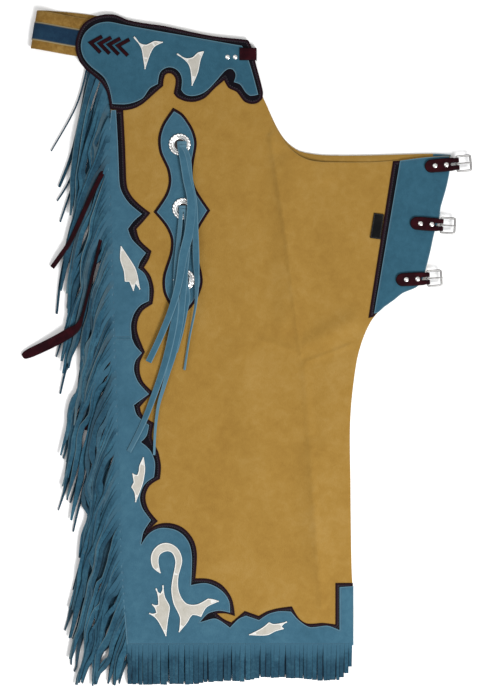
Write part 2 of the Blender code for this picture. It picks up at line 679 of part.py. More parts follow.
VISIBLE_SIDE = {
    "seed": 11, "group": 9, "lean_step": 0.10, "length": 0.252, "width": 0.0050,
    "tilt": math.radians(35), "root_height": 0.0053, "level": visible_level,
    "course": STRAND_COURSE,
}
HIDDEN_SIDE = {
    "seed": 23, "group": 1, "lean_step": 0.0, "length": 0.225, "width": 0.0050,
    "tilt": 0.0, "root_height": 0.0009, "level": lambda place: 0.0009,
    "course": HIDDEN_COURSE,
}


VISIBLE_HEM = {
    "width": 0.0048, "trim": 0.0, "root_height": 0.0053, "tip_height": 0.0026, "shares": (0.3, 1.0),
}
HIDDEN_HEM = {
    "width": 0.0074, "trim": 0.004, "root_height": 0.0009, "tip_height": 0.0009, "shares": (1.0,),
}


def hem_strand(index, root, spec):
    """Rings of one strand of the hem fringe, lying straight down with a slow sway."""
    heading = down_heading(HEM_SWAY * math.sin(0.3 * index))
    length = hem_length(root) - spec["trim"]
    drop = spec["tip_height"] - spec["root_height"]
    rings = []
    for share in spec["shares"]:
        place = root + heading * length * share
        height = spec["root_height"] + drop * min(1.0, share * 1.4)
        centre = Vector((place.x, place.y, height))
        rings.append(ribbon_ring(centre, heading, spec["width"], STRAND_THICK, 0.0))
    return rings


def hem_length(root):
    """The hem fringe is a little shorter towards the inner edge."""
    column = root.x / SQUARE
    rows = 40 - 3.5 * min(1.0, max(0.0, (column - 150) / 60)) - 5 * max(0.0, (column - 320) / 32)
    return rows * SQUARE


def ribbon(builder, route, thick, start_ring=None):
    """Add a flat thong to the mesh along a route of x, y, height and width."""
    places = [Vector((*board(x, y), z)) for x, y, z, _ in route]
    ring = start_ring
    first = 1 if start_ring else 0
    for index in range(first, len(places)):
        before = places[max(0, index - 1)]
        after = places[min(len(places) - 1, index + 1)]
        heading = Vector((after.x - before.x, after.y - before.y)).normalized()
        corners = ribbon_ring(places[index], heading, route[index][3], thick, 0.0)
        grown = [builder.verts.new(corner) for corner in corners]
        if ring is None:
            builder.faces.new(grown)
        else:
            for side in range(4):
                after_side = (side + 1) % 4
                builder.faces.new((ring[side], ring[after_side], grown[after_side], grown[side]))
        ring = grown
    builder.faces.new(ring)


def leg_strap(name, route):
    builder = bmesh.new()
    ribbon(builder, route, LEG_STRAP_THICK)
    return add_piece(name, builder, "burgundy")


def concho_ties(name, routes, centre):
    """Two thongs fused into the knot that sits in the middle of a concho."""
    builder = bmesh.new()
    strand_low = routes[0][0][2] - THONG_THICK / 2
    strand_high = strand_low + THONG_THICK
    top = strand_high + KNOT_COVER
    heights = (KNOT_LOW, strand_low, strand_high, top)
    front = board(0, routes[0][0][1]).y
    back = board(*centre).y + KNOT_BACK
    spans = []
    for route in routes:
        middle = board(route[0][0], 0).x
        spans += [middle - route[0][3] / 2, middle + route[0][3] / 2]
    half = max(spans[3] - spans[0], KNOT_LEAST_WIDTH) / 2 + KNOT_SIDE
    middle = (spans[0] + spans[3]) / 2
    columns = [middle - half, *spans, middle + half]
    faces = {}
    grid = [[builder.verts.new((cx, front, z)) for z in heights] for cx in columns]
    rear = {
        (0, 0): builder.verts.new((columns[0], back, KNOT_LOW)),
        (0, 3): builder.verts.new((columns[0], back, top)),
        (5, 0): builder.verts.new((columns[-1], back, KNOT_LOW)),
        (5, 3): builder.verts.new((columns[-1], back, top)),
    }
    for column in range(len(columns) - 1):
        for level in range(3):
            ring = (
                grid[column + 1][level], grid[column][level],
                grid[column][level + 1], grid[column + 1][level + 1],
            )
            if level == 1 and column in (1, 3):
                faces[column] = ring
            else:
                builder.faces.new(ring)
    lower_row = [grid[c][0] for c in range(6)]
    upper_row = [grid[c][3] for c in range(6)]
    builder.faces.new([*lower_row, rear[(5, 0)], rear[(0, 0)]])
    builder.faces.new([*upper_row, rear[(5, 3)], rear[(0, 3)]])
    builder.faces.new([*grid[0], rear[(0, 3)], rear[(0, 0)]])
    builder.faces.new([*grid[5], rear[(5, 3)], rear[(5, 0)]])
    builder.faces.new([rear[(0, 0)], rear[(0, 3)], rear[(5, 3)], rear[(5, 0)]])
    for column, route in zip((1, 3), routes):
        ribbon(builder, route, THONG_THICK, start_ring=faces[column])
    return add_piece(name, builder, "blue")


def turned(name, centre, profile, sides, key, base):
    """A round piece built from rings of radius and height over its base."""
    builder = bmesh.new()
    rings = []
    for radius, height in profile:
        ring = []
        for side in range(sides):
            angle = 2 * math.pi * side / sides
            ring.append(
                builder.verts.new(
                    (
                        centre.x + radius * math.cos(angle),
                        centre.y + radius * math.sin(angle),
                        base + height,
                    )
                )
            )
        rings.append(ring)
    builder.faces.new(rings[0])
    builder.faces.new(rings[-1])
    for lower, upper in zip(rings, rings[1:]):
        for side in range(sides):
            after = (side + 1) % sides
            builder.faces.new((lower[side], lower[after], upper[after], upper[side]))
    return add_piece(name, builder, key)


def concho(name, centre):
    profile = [
        (CONCHO_RADIUS, 0.0),
        (CONCHO_RADIUS, 0.0010),
        (CONCHO_RADIUS * 0.84, CONCHO_RISE * 0.85),
        (CONCHO_RADIUS * 0.70, CONCHO_RISE),
        (CONCHO_RADIUS * 0.54, 0.0018),
    ]
    return turned(name, board(*centre), profile, 24, "nickel", INLAY_LOW)


def rivet(name, place, base):
    profile = [
        (RIVET_RADIUS, 0.0),
        (RIVET_RADIUS, RIVET_RISE * 0.4),
        (RIVET_RADIUS * 0.75, RIVET_RISE * 0.85),
        (RIVET_RADIUS * 0.35, RIVET_RISE),
    ]
    return turned(name, place, profile, 12, "nickel", base)


def chevron(name, number):
    """One laced arrow of the yoke, as a bent bar."""
    step = Vector(CHEVRON_STEP) * number
    point, upper, lower = (board(x + step.x, y + step.y) for x, y in
                           (CHEVRON_POINT, CHEVRON_UPPER, CHEVRON_LOWER))
    line = [upper, point, lower]
    half = CHEVRON_WIDTH / 2
    loop = shifted(line, half) + shifted(line, -half)[::-1]
    return flat_plate(name, loop, INLAY_LOW, INLAY_HIGH, "dark")


def belt_frame():
    """The belt's fold point, its direction away from the fold and its direction across."""
    along = Vector((math.cos(BELT_SLOPE), -math.sin(BELT_SLOPE), 0.0))
    across = Vector((math.sin(BELT_SLOPE), math.cos(BELT_SLOPE), 0.0))
    return Vector((*board(*BELT_FOLD), 0.0)), along, across


def belt_band(name, width, thick, outside, key):
    """A band bent along the belt's course and moved outside it by a distance."""
    fold, along, across = belt_frame()
    course = []
    count = len(BELT_PATH)
    for index in range(count - 1):
        for half in (0.0, 0.5):
            if half and index in (0, count - 2):
                continue
            four = [Vector(BELT_PATH[min(count - 1, max(0, index + k))]) for k in (-1, 0, 1, 2)]
            if half:
                course.append((9 * (four[1] + four[2]) - four[0] - four[3]) / 16)
            else:
                course.append(four[1])
    course.append(Vector(BELT_PATH[-1]))
    builder = bmesh.new()
    rings = []
    for index, (distance, height, shift) in enumerate(course):
        before = course[max(0, index - 1)]
        after = course[min(len(course) - 1, index + 1)]
        run = Vector((after.x - before.x, after.y - before.y)).normalized()
        out = Vector((-run.y, run.x))
        middle = Vector((distance, height)) + out * outside
        ring = []
        for side, edge in ((-1, -1), (1, -1), (1, 1), (-1, 1)):
            spot = middle + out * thick / 2 * edge
            ring.append(
                builder.verts.new(
                    fold + along * spot.x + across * (shift + side * width / 2)
                    + Vector((0.0, 0.0, spot.y))
                )
            )
        rings.append(ring)
    builder.faces.new(rings[0])
    builder.faces.new(rings[-1])
    for one, two in zip(rings, rings[1:]):
        for side in range(4):
            after = (side + 1) % 4
            builder.faces.new((one[side], one[after], two[after], two[side]))
    return add_piece(name, builder, key)


def circle(radius, sides, first=0.0, turn=2 * math.pi, closed=True):
    count = sides if closed else sides + 1
    return [
        Vector((radius * math.cos(first + turn * k / sides), radius * math.sin(first + turn * k / sides)))
        for k in range(count)
    ]


def side_view_bar(name, loops, width, key):
    """A piece drawn in side view, x along it and y up, and given a width across."""
    points, faces = fill(loops)
    builder = bmesh.new()
    near = [builder.verts.new((p.x, -width / 2, p.y)) for p in points]
    far = [builder.verts.new((p.x, width / 2, p.y)) for p in points]
    for face in faces:
        builder.faces.new([near[i] for i in face])
        builder.faces.new([far[i] for i in face])
    first = 0
    for loop in loops:
        for index in range(len(loop)):
            here, after = first + index, first + (index + 1) % len(loop)
            builder.faces.new((near[here], near[after], far[after], far[here]))
        first += len(loop)
    return add_piece(name, builder, key)


def place_on_tab(piece, tab):
    """Stand a piece that is drawn round the heel bar at its place and tilt."""
    x, y, tilt, length = tab
    turn = math.radians(tilt)
    start = board(x, y)
    piece.location = (
        start.x + length * math.cos(turn), start.y + length * math.sin(turn), BUCKLE_AXIS_HIGH
    )
    piece.rotation_euler = (0.0, 0.0, turn)
    return piece


def tab_plan(length):
    """The tab seen from above: round end, neck at the loop and the tongue's slot."""
    half = TAB_WIDTH / 2
    neck = TAB_NECK_WIDTH / 2
    slot = TAB_SLOT_WIDTH / 2
    loop_end = LOOP_BORE + TAB_PLY + 0.002
    centre = Vector((-length + half, 0.0))
    round_end = [centre + p for p in circle(half, 8, math.pi / 2, math.pi, closed=False)]
    return [
        *round_end,
        Vector((-TAB_NECK - 0.003, -half)), Vector((-TAB_NECK, -neck)), Vector((loop_end, -neck)),
        Vector((loop_end, -slot)), Vector((-TAB_SLOT, -slot)), Vector((-TAB_SLOT - 0.0012, 0.0)),
        Vector((-TAB_SLOT, slot)), Vector((loop_end, slot)),
        Vector((loop_end, neck)), Vector((-TAB_NECK, neck)), Vector((-TAB_NECK - 0.003, half)),
    ]


def buckle_tab(name, tab):
    """A strap folded round the heel bar, its plies lying on each other."""
    length = tab[3]
    ring = LOOP_BORE + TAB_PLY
    meet = math.asin(TAB_PLY / ring)
    outer = [Vector((-length - 0.001, -TAB_PLY))]
    outer += circle(ring, 14, -math.pi + meet, 2 * (math.pi - meet), closed=False)
    outer.append(Vector((-length - 0.001, TAB_PLY)))
    bore = circle(LOOP_BORE, 12, math.pi / 12)
    body = side_view_bar(name, [outer, bore], TAB_WIDTH + 0.004, "burgundy")
    plan = tab_plan(length)
    cutter = flat_plate(f"{name}_shape", plan, -0.010, 0.010, "burgundy")
    cutter.hide_render = True
    cutter.display_type = "WIRE"
    cut = body.modifiers.new("outline", "BOOLEAN")
    cut.operation = "INTERSECT"
    cut.object = cutter
    place_on_tab(cutter, tab)
    return place_on_tab(body, tab), cutter


def buckle_frame(name, tab):
    """A closed rectangular rod with its heel bar on the hinge axis."""
    corner = 0.0028
    far = FRAME_LENGTH
    half = FRAME_WIDTH / 2
    path = []
    for cx, cy, first in (
        (far - corner, half - corner, 0.0), (corner * 0.5, half - corner * 0.5, math.pi / 2),
        (corner * 0.5, -half + corner * 0.5, math.pi), (far - corner, -half + corner, 3 * math.pi / 2),
    ):
        radius = corner if cx > corner else corner * 0.5
        path += [Vector((cx, cy)) + p for p in circle(radius, 2, first, math.pi / 2, closed=False)]
    builder = bmesh.new()
    rings = []
    count = len(path)
    for index, point in enumerate(path):
        run = (path[(index + 1) % count] - path[index - 1]).normalized()
        out = Vector((run.y, -run.x))
        ring = []
        for side in range(8):
            angle = 2 * math.pi * (side + 0.5) / 8
            spot = point + out * ROD_RADIUS * math.cos(angle)
            ring.append(builder.verts.new((spot.x, spot.y, ROD_RADIUS * math.sin(angle))))
        rings.append(ring)
    for index, ring in enumerate(rings):
        after_ring = rings[(index + 1) % count]
        for side in range(8):
            after = (side + 1) % 8
            builder.faces.new((ring[side], ring[after], after_ring[after], after_ring[side]))
    return place_on_tab(add_piece(name, builder, "nickel"), tab)


def buckle_tongue(name, tab):
    """A prong that turns on the heel bar and rests on the far bar."""
    ring = LOOP_BORE + 0.0010
    rest = ROD_RADIUS + SEAM_GAP
    tip = FRAME_LENGTH + ROD_RADIUS * 1.2
    start = math.radians(62)
    outer = circle(ring, 10, start, 2 * math.pi - start - math.radians(5), closed=False)
    outer += [
        Vector((FRAME_LENGTH - 2 * ROD_RADIUS, rest)), Vector((tip, rest)),
        Vector((tip, rest + 0.0008)), Vector((FRAME_LENGTH - ROD_RADIUS, rest + 0.0018)),
    ]
    bore = circle(LOOP_BORE, 12, math.pi / 12)
    return place_on_tab(side_view_bar(name, [outer, bore], TONGUE_WIDTH, "nickel"), tab)


def front_strap():
    """The strap that joins the two yokes, turned down over the folded edge."""
    left, right = STRAP_LEFT * SQUARE, STRAP_RIGHT * SQUARE
    top = OVERLAY_HIGH + SEAM_GAP + STRAP_THICK
    low = OVERLAY_HIGH + SEAM_GAP
    wall = right - STRAP_THICK
    profile = [
        Vector((left, low)), Vector((wall, low)), Vector((wall, 0.0006)), Vector((right, 0.0006)),
        Vector((right, top - 0.0012)), Vector((right - 0.0012, top)), Vector((left, top)),
    ]
    width = (STRAP_BOTTOM - STRAP_TOP) * SQUARE
    piece = side_view_bar("front_strap", [profile], width, "burgundy")
    piece.location = (0.0, board(0, (STRAP_TOP + STRAP_BOTTOM) / 2).y, 0.0)
    return piece


def build_legs(made):
    outer = curve(OUTER_EDGE)
    room = shifted(outer, STRIP_WIDTH + SEAM_GAP)
    inner = curve(INNER_EDGE)
    low_row = HEM_ROW - LEG_HEM_ROOM
    hem = [board(HEM_RIGHT, low_row), board(LEG_HEM_LEFT, low_row)]
    room = [p for p in room if p.y > hem[1].y + 4 * CUT_MARGIN]
    front = curve(FRONT_EDGE)
    loop = front + inner + hem + room[::-1]
    made.append(creased_plate("right_leg", loop, PANEL_LOW, PANEL_HIGH, "tan"))
    hidden_front = curve(HIDDEN_FRONT_EDGE, error=0.0010)
    hidden = hidden_front + curve(INNER_EDGE, error=0.0010) + hem + room[::-1]
    layers = [
        (0.0, 0.0009), (0.0009, 0.0002), (0.0020, 0.0011), (0.0031, 0.0002), (HIDDEN_THICK, 0.0009),
    ]
    made.append(layered_solid("left_leg", hidden, layers, "tan"))
    return outer


def build_border(made, outer):
    """The dark rim and the blue border, pieced at one seam."""
    right = board(HEM_RIGHT, HEM_ROW)
    left_line = [p for p in outer if p.y < board(0, BORDER_TOP_ROW).y - CUT_MARGIN]
    top_left = board(BORDER_TOP_LEFT, BORDER_TOP_ROW)
    seam = board(0, BORDER_SEAM_ROW).y
    gap = Vector((0.0, SEAM_GAP / 2))
    above = [p for p in left_line if p.y > seam + CUT_MARGIN]
    below = [p for p in left_line if p.y < seam - CUT_MARGIN]
    seam_left = board(BORDER_SEAM_LEFT, BORDER_SEAM_ROW)
    upper_edge = curve(SCALLOPS_UPPER)
    lower_edge = curve(SCALLOPS_LOWER)
    upper = [*upper_edge[:-1], upper_edge[-1] + gap, seam_left + gap, *above[::-1], top_left]
    lower = [lower_edge[0] - gap, *lower_edge[1:], right, *below[::-1], seam_left - gap]
    made.append(flat_plate("border_upper", upper, OVERLAY_LOW, OVERLAY_HIGH, "blue"))
    made.append(flat_plate("border_lower", lower, OVERLAY_LOW, OVERLAY_HIGH, "blue"))
    welt = curve(BORDER_WELT)
    inward = Vector((WELT_INSET * SQUARE, 0.0))
    back = [p + inward for p in left_line if p.y > right.y + 4 * CUT_MARGIN]
    low_row = HEM_ROW - WELT_INSET
    corners = [board(BORDER_WELT[-1][0], low_row), board(HEM_LEFT + WELT_INSET, low_row)]
    top = top_left + inward
    made.append(
        flat_plate("border_welt", welt + corners + back[::-1] + [top], WELT_LOW, WELT_HIGH, "dark")
    )


def build_yoke(made):
    made.append(flat_plate("yoke_welt", curve(YOKE_WELT, True), WELT_LOW, WELT_HIGH, "dark"))
    made.append(flat_plate("yoke", curve(YOKE_EDGE, True), OVERLAY_LOW, OVERLAY_HIGH, "blue"))
    for number in range(CHEVRON_COUNT):
        made.append(chevron(f"chevron_{number + 1}", number))
    for number, place in enumerate(YOKE_RIVETS, 1):
        made.append(rivet(f"yoke_rivet_{number}", board(*place), INLAY_LOW))
    made.append(front_strap())


def build_leaves(made):
    for name, table in LEAF_OUTLINES.items():
        made.append(flat_plate(name, curve(table, True), INLAY_LOW, INLAY_HIGH, "white"))


def build_concho_plate(made):
    plate = curve(CONCHO_PLATE_EDGE, True)
    rim = outward(plate, CONCHO_PLATE_RIM)
    made.append(flat_plate("concho_plate_welt", rim, WELT_LOW, WELT_HIGH, "dark"))
    made.append(flat_plate("concho_plate", plate, OVERLAY_LOW, OVERLAY_HIGH, "blue"))
    for number, centre in enumerate(CONCHO_CENTRES, 1):
        made.append(concho(f"concho_{number}", centre))
        ties = f"concho_ties_{number}"
        made.append(concho_ties(ties, THONG_ROUTES[ties], centre))


def build_facing(made):
    """The blue facing of the thigh with its dark rim, and the bare label on the rim."""
    top = curve(FACING_EDGE)
    inner = curve(INNER_EDGE)
    end = board(*FACING_INNER_END)
    welt_end = board(*FACING_WELT_END)
    side = [p for p in inner if p.y > end.y + 2 * CUT_MARGIN]
    facing = top + side + [end]
    inward = Vector((-FACING_WELT_INSET, 0.0))
    welt_side = [p + inward for p in inner if p.y > welt_end.y + 2 * CUT_MARGIN]
    welt = [*(board(x, y) for x, y in FACING_WELT_TOP), *welt_side, welt_end]
    made.append(flat_plate("facing", facing, OVERLAY_LOW, OVERLAY_HIGH, "blue"))
    made.append(flat_plate("facing_welt", welt, WELT_LOW, WELT_HIGH, "dark"))
    label = curve(LABEL_EDGE, True)
    made.append(
        flat_plate("label", label, OVERLAY_LOW, OVERLAY_LOW + INLAY_THICK, "dark")
    )


def build_fringe(made, outer):
    hem = [board(HEM_STRIP_LEFT, HEM_ROW), board(HEM_RIGHT, HEM_ROW)]
    upper = PANEL_HIGH - STRIP_THICK
    rows = (
        ("fringe_side", outer, SIDE_STRANDS, upper, side_strand, VISIBLE_SIDE),
        ("fringe_side_under", outer, SIDE_UNDER_STRANDS, FRINGE_FLOOR, side_strand, HIDDEN_SIDE),
        ("fringe_hem", hem, HEM_STRANDS, upper, hem_strand, VISIBLE_HEM),
        ("fringe_hem_under", hem, HEM_UNDER_STRANDS, FRINGE_FLOOR, hem_strand, HIDDEN_HEM),
    )
    for name, line, strands, low, grow, spec in rows:
        route = functools.partial(grow, spec=spec)
        made.append(comb(name, line, *strands, low, low + STRIP_THICK, route, "fringe_blue"))


def build_belt(made):
    made.append(belt_band("belt", BELT_WIDTH, BELT_THICK, 0.0, "tan"))
    outside = BELT_THICK / 2 + SEAM_GAP + BELT_STRIPE_THICK / 2
    made.append(
        belt_band("belt_stripe", BELT_STRIPE_WIDTH, BELT_STRIPE_THICK, outside, "deep_blue")
    )


def build_buckles(made):
    guides = []
    rivet_base = BUCKLE_AXIS_HIGH + TAB_PLY + SEAM_GAP
    for number, tab in enumerate(TABS, 1):
        body, cutter = buckle_tab(f"tab_{number}", tab)
        made.append(body)
        guides.append(cutter)
        x, y, tilt, _ = tab
        turn = math.radians(tilt)
        for which, distance in enumerate(TAB_RIVETS, 1):
            place = board(x, y) + Vector((math.cos(turn), math.sin(turn))) * distance
            made.append(rivet(f"tab_rivet_{number}_{which}", place, rivet_base))
        made.append(buckle_frame(f"buckle_frame_{number}", tab))
        made.append(buckle_tongue(f"buckle_tongue_{number}", tab))
    return guides


def settle_origin(pieces, guides):
    """Hang everything on one empty whose place puts the origin under the middle of the box."""
    bpy.context.view_layer.update()
    low = Vector((1e9, 1e9, 1e9))
    high = -low
    graph = bpy.context.evaluated_depsgraph_get()
    for piece in pieces:
        shape = piece.evaluated_get(graph)
        for vertex in shape.data.vertices:
            spot = shape.matrix_world @ vertex.co
            low = Vector(map(min, low, spot))
            high = Vector(map(max, high, spot))
    holder = bpy.data.objects.new("chaps", None)
    bpy.context.scene.collection.objects.link(holder)
    holder.location = (-(low.x + high.x) / 2, -(low.y + high.y) / 2, -low.z)
    for piece in (*pieces, *guides):
        piece.parent = holder
    bpy.context.view_layer.update()
    return holder, high - low


def report(holder, size):
    print("box in mm:", [round(v * 1000, 2) for v in size])
    print("board origin in metres:", [round(v, 5) for v in holder.location])
    for number, tab in enumerate(TABS, 1):
        frame = bpy.data.objects[f"buckle_frame_{number}"]
        place = frame.matrix_world.translation
        axis = frame.matrix_world.to_3x3() @ Vector((0.0, 1.0, 0.0))
        print(f"heel bar {number}:", [round(v, 5) for v in place], [round(v, 5) for v in axis])


def main():
    clear_scene()
    made = []
    outer = build_legs(made)
    build_border(made, outer)
    build_yoke(made)
    build_leaves(made)
    build_concho_plate(made)
    build_facing(made)
    build_fringe(made, outer)
    build_belt(made)
    for name, route in STRAP_ROUTES.items():
        made.append(leg_strap(name, route))
    guides = build_buckles(made)
    holder, size = settle_origin(made, guides)
    report(holder, size)


main()
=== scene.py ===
# %% [markdown]
# # Fringed leather chaps, folded at the front and laid flat
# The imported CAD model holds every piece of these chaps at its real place. This script keeps those
# places and outlines, and gives each piece the surface of the real one: napped suede, rolled dark
# rims, stitches, cut fringe and plated fittings. The frame is loaded first, because every new piece
# takes its outline and its height from it.

import json
import math
import random

import bpy
import numpy as np
from mathutils import Matrix, Vector
from mathutils.bvhtree import BVHTree
from mathutils.geometry import delaunay_2d_cdt


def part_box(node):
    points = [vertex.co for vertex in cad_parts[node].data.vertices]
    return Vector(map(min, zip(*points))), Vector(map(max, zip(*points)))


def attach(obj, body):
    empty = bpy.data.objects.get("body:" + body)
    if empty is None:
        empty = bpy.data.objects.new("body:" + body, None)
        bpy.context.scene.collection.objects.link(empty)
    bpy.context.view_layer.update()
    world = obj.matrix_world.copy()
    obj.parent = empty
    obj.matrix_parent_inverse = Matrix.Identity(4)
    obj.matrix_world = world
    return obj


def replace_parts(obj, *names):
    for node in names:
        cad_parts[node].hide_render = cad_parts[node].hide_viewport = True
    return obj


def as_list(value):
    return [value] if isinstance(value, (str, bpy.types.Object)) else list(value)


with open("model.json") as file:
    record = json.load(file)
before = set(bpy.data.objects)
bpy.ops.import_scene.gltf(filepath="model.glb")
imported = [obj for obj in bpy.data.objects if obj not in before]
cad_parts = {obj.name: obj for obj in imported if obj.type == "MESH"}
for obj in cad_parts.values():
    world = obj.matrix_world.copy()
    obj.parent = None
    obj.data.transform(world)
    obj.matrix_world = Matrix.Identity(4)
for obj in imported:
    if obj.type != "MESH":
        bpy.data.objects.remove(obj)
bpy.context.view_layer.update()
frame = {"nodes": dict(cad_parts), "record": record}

# %% [markdown]
# ## The pattern board
# A saddler reads a pattern on a squared board. The same board is used here: x counts squares to the
# right and y counts squares down. Its place in the frame comes from the first concho, whose centre
# is a known point of the board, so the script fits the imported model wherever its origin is.

# %% Board and layers
SQUARE = 0.0015
SQUARES_HIGH = 700
CONCHO_CENTRES = [(179.8, 144.7), (183.3, 209.0), (184.0, 280.0)]
concho_low, concho_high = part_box("concho_1")
first_concho = Vector(CONCHO_CENTRES[0])
corner_x = (concho_low.x + concho_high.x) / 2 - first_concho.x * SQUARE
corner_y = (concho_low.y + concho_high.y) / 2 + first_concho.y * SQUARE


def board(x, y):
    """A place on the pattern board as a flat point in metres."""
    return Vector((corner_x + x * SQUARE, corner_y - y * SQUARE))


def heights(node):
    """The lowest and highest level of a CAD node."""
    low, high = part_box(node)
    return low.z, high.z


RIM_LOW, RIM_HIGH = heights("yoke_welt")
BLUE_LOW, BLUE_HIGH = heights("yoke")
INLAY_LOW, INLAY_HIGH = heights("leaf_upper")
print("board corner:", round(corner_x, 5), round(corner_y, 5), "blue layer ends at", round(BLUE_HIGH, 4))

# %% [markdown]
# ## Outlines from the CAD pieces
# Each leather piece is flat, so its shape is its outline. The outline is the border of the node's
# upper faces. The CAD draws curves as short straight chords. New points are put between them on a
# smooth curve, and only real corners stay sharp.


# %% Read and refine an outline
def outline_of(node):
    """The border of a CAD node's upper faces, counter-clockwise, in metres."""
    mesh = frame["nodes"][node].data
    places = [tuple(round(c * 1e5) for c in v.co) for v in mesh.vertices]
    sides = set()
    for face in mesh.polygons:
        if face.normal.z > 0.7:
            ring = [places[i] for i in face.vertices]
            sides |= set(zip(ring, ring[1:] + ring[:1]))
    border = {a: b for a, b in sides if (b, a) not in sides}
    loops = []
    while border:
        first, here = border.popitem()
        loop = [first]
        while here != first:
            loop.append(here)
            here = border.pop(here)
        loops.append(loop)
    longest = max(loops, key=len)
    return [Vector((x, y)) * 1e-5 for x, y, _ in longest]


def refined(loop, longest, corner=35):
    """Add points on a smooth curve until no side of the outline is longer than asked."""
    straight = math.cos(math.radians(corner))
    while True:
        count = len(loop)
        runs = [(loop[(i + 1) % count] - loop[i]) for i in range(count)]
        ways = [run.normalized() for run in runs]
        result = []
        for i, here in enumerate(loop):
            result.append(here)
            if runs[i].length <= longest:
                continue
            arriving = ways[i - 1] if ways[i - 1].dot(ways[i]) > straight else ways[i]
            leaving = ways[(i + 1) % count]
            leaving = leaving if leaving.dot(ways[i]) > straight else ways[i]
            result.append(here + runs[i] / 2 + (arriving - leaving) * runs[i].length / 16)
        if len(result) == count:
            return result
        loop = result


OUTLINES = {
    node: outline_of(node)
    for node in (
        "right_leg", "left_leg", "border_upper", "border_lower", "border_welt", "yoke", "yoke_welt",
        "concho_plate", "concho_plate_welt", "facing", "facing_welt", "label", "chevron_1",
        "chevron_2", "chevron_3", "chevron_4", "yoke_leaf_1", "yoke_leaf_2", "leaf_upper",
        "leaf_middle", "scroll", "leaf_corner", "leaf_hem",
    )
}
for node in ("border_upper", "border_welt"):
    for point in OUTLINES[node]:
        if abs(point.y - board(0, 111.2).y) < 0.5 * SQUARE:
            point.y = board(0, 110.3).y
            point.x = max(point.x, board(111.4, 0).x)
print("outlines:", {node: len(loop) for node, loop in OUTLINES.items()})


# %% Move an outline in, and measure how far points are from it
def moved_in(loop, distance):
    """A counter-clockwise outline moved towards its inside."""
    result = []
    for i, here in enumerate(loop):
        arriving = (here - loop[i - 1]).normalized()
        leaving = (loop[(i + 1) % len(loop)] - here).normalized()
        square = Vector((-arriving.y, arriving.x))
        middle = square + Vector((-leaving.y, leaving.x))
        middle = middle.normalized() if middle.length > 1e-6 else square
        result.append(here + middle * distance * min(1.6, 1 / max(0.4, middle.dot(square))))
    return result


def edge_distance(points, loop):
    """The distance of each point from an outline."""
    points = np.asarray(points, float).reshape(-1, 2)
    best = np.full(len(points), 1e9)
    for start, end in zip(loop, loop[1:] + loop[:1]):
        step = np.array(end - start)
        offset = points - np.array(start)
        share = np.clip(offset @ step / max(step @ step, 1e-16), 0, 1)
        best = np.minimum(best, ((offset - share[:, None] * step) ** 2).sum(1))
    return np.sqrt(best)


def is_inside(points, loop):
    """Whether each point lies inside an outline."""
    points = np.asarray(points, float).reshape(-1, 2)
    hit = np.zeros(len(points), bool)
    for start, end in zip(loop, loop[1:] + loop[:1]):
        if start.y == end.y:
            continue
        crosses = (start.y > points[:, 1]) != (end.y > points[:, 1])
        x = start.x + (points[:, 1] - start.y) / (end.y - start.y) * (end.x - start.x)
        hit ^= crosses & (x > points[:, 0])
    return hit


def rows_inside(loop, insets):
    """Points in rows that follow an outline at the given distances from it."""
    rows = [np.zeros((0, 2))]
    for inset in insets:
        row = np.array(moved_in(loop, inset))
        row = row[is_inside(row, loop)]
        rows.append(row[edge_distance(row, loop) > 0.95 * inset])
    return np.concatenate(rows)


def grid_inside(loop, step, clear):
    """Staggered points inside an outline, clear of its edge."""
    (x0, y0), (x1, y1) = np.array(loop).min(0), np.array(loop).max(0)
    rows = np.arange(y0, y1, step * 0.87)
    spots = [
        (x, y)
        for number, y in enumerate(rows)
        for x in np.arange(x0 + (number % 2) * step / 2, x1, step)
    ]
    spots = np.array(spots).reshape(-1, 2)
    spots = spots[is_inside(spots, loop)]
    return spots[edge_distance(spots, loop) > clear]


# %% [markdown]
# ## Colours and shared effects
# Suede is leather with a brushed, fibrous face. It has no gloss, its colour drifts over large soft
# patches, and a fine nap catches the light. The rims and straps are smooth leather with a grain.
# Both effects are used by several materials, so each is one node group with its own values.


# %% Helpers for shader nodes
LIGHT_LEVEL = 1.78      # how bright a white surface looks under this scene's lights


def photo_colour(red, green, blue):
    """The surface colour that looks like these 8-bit screen values under the scene's lights."""
    values = [c / 255 for c in (red, green, blue)]
    linear = [v / 12.92 if v <= 0.04045 else ((v + 0.055) / 1.055) ** 2.4 for v in values]
    return (*(min(1.0, v / LIGHT_LEVEL) for v in linear), 1.0)


def wire(tree, kind, inputs=None, **options):
    """Add a shader node, set its options and fill its inputs with values or links."""
    node = tree.nodes.new(kind)
    for option, value in options.items():
        setattr(node, option, value)
    for socket, value in (inputs or {}).items():
        if isinstance(value, bpy.types.NodeSocket):
            tree.links.new(value, node.inputs[socket])
        else:
            node.inputs[socket].default_value = value
    return node


def math_node(tree, operation, first, second=0.0):
    return wire(tree, "ShaderNodeMath", {0: first, 1: second}, operation=operation).outputs[0]


def mix_colours(tree, factor, first, second, blend="MIX"):
    node = wire(
        tree, "ShaderNodeMix", {0: factor, 6: first, 7: second}, data_type="RGBA", blend_type=blend
    )
    return node.outputs[2]


def new_group(name, inputs, outputs):
    """An empty node group with named sockets."""
    group = bpy.data.node_groups.new(name, "ShaderNodeTree")
    for label, kind, value in inputs:
        socket = group.interface.new_socket(name=label, in_out="INPUT", socket_type=kind)
        socket.default_value = value
    for label, kind in outputs:
        group.interface.new_socket(name=label, in_out="OUTPUT", socket_type=kind)
    return group, group.nodes.new("NodeGroupInput").outputs, group.nodes.new("NodeGroupOutput")


FLOAT, COLOUR = "NodeSocketFloat", "NodeSocketColor"


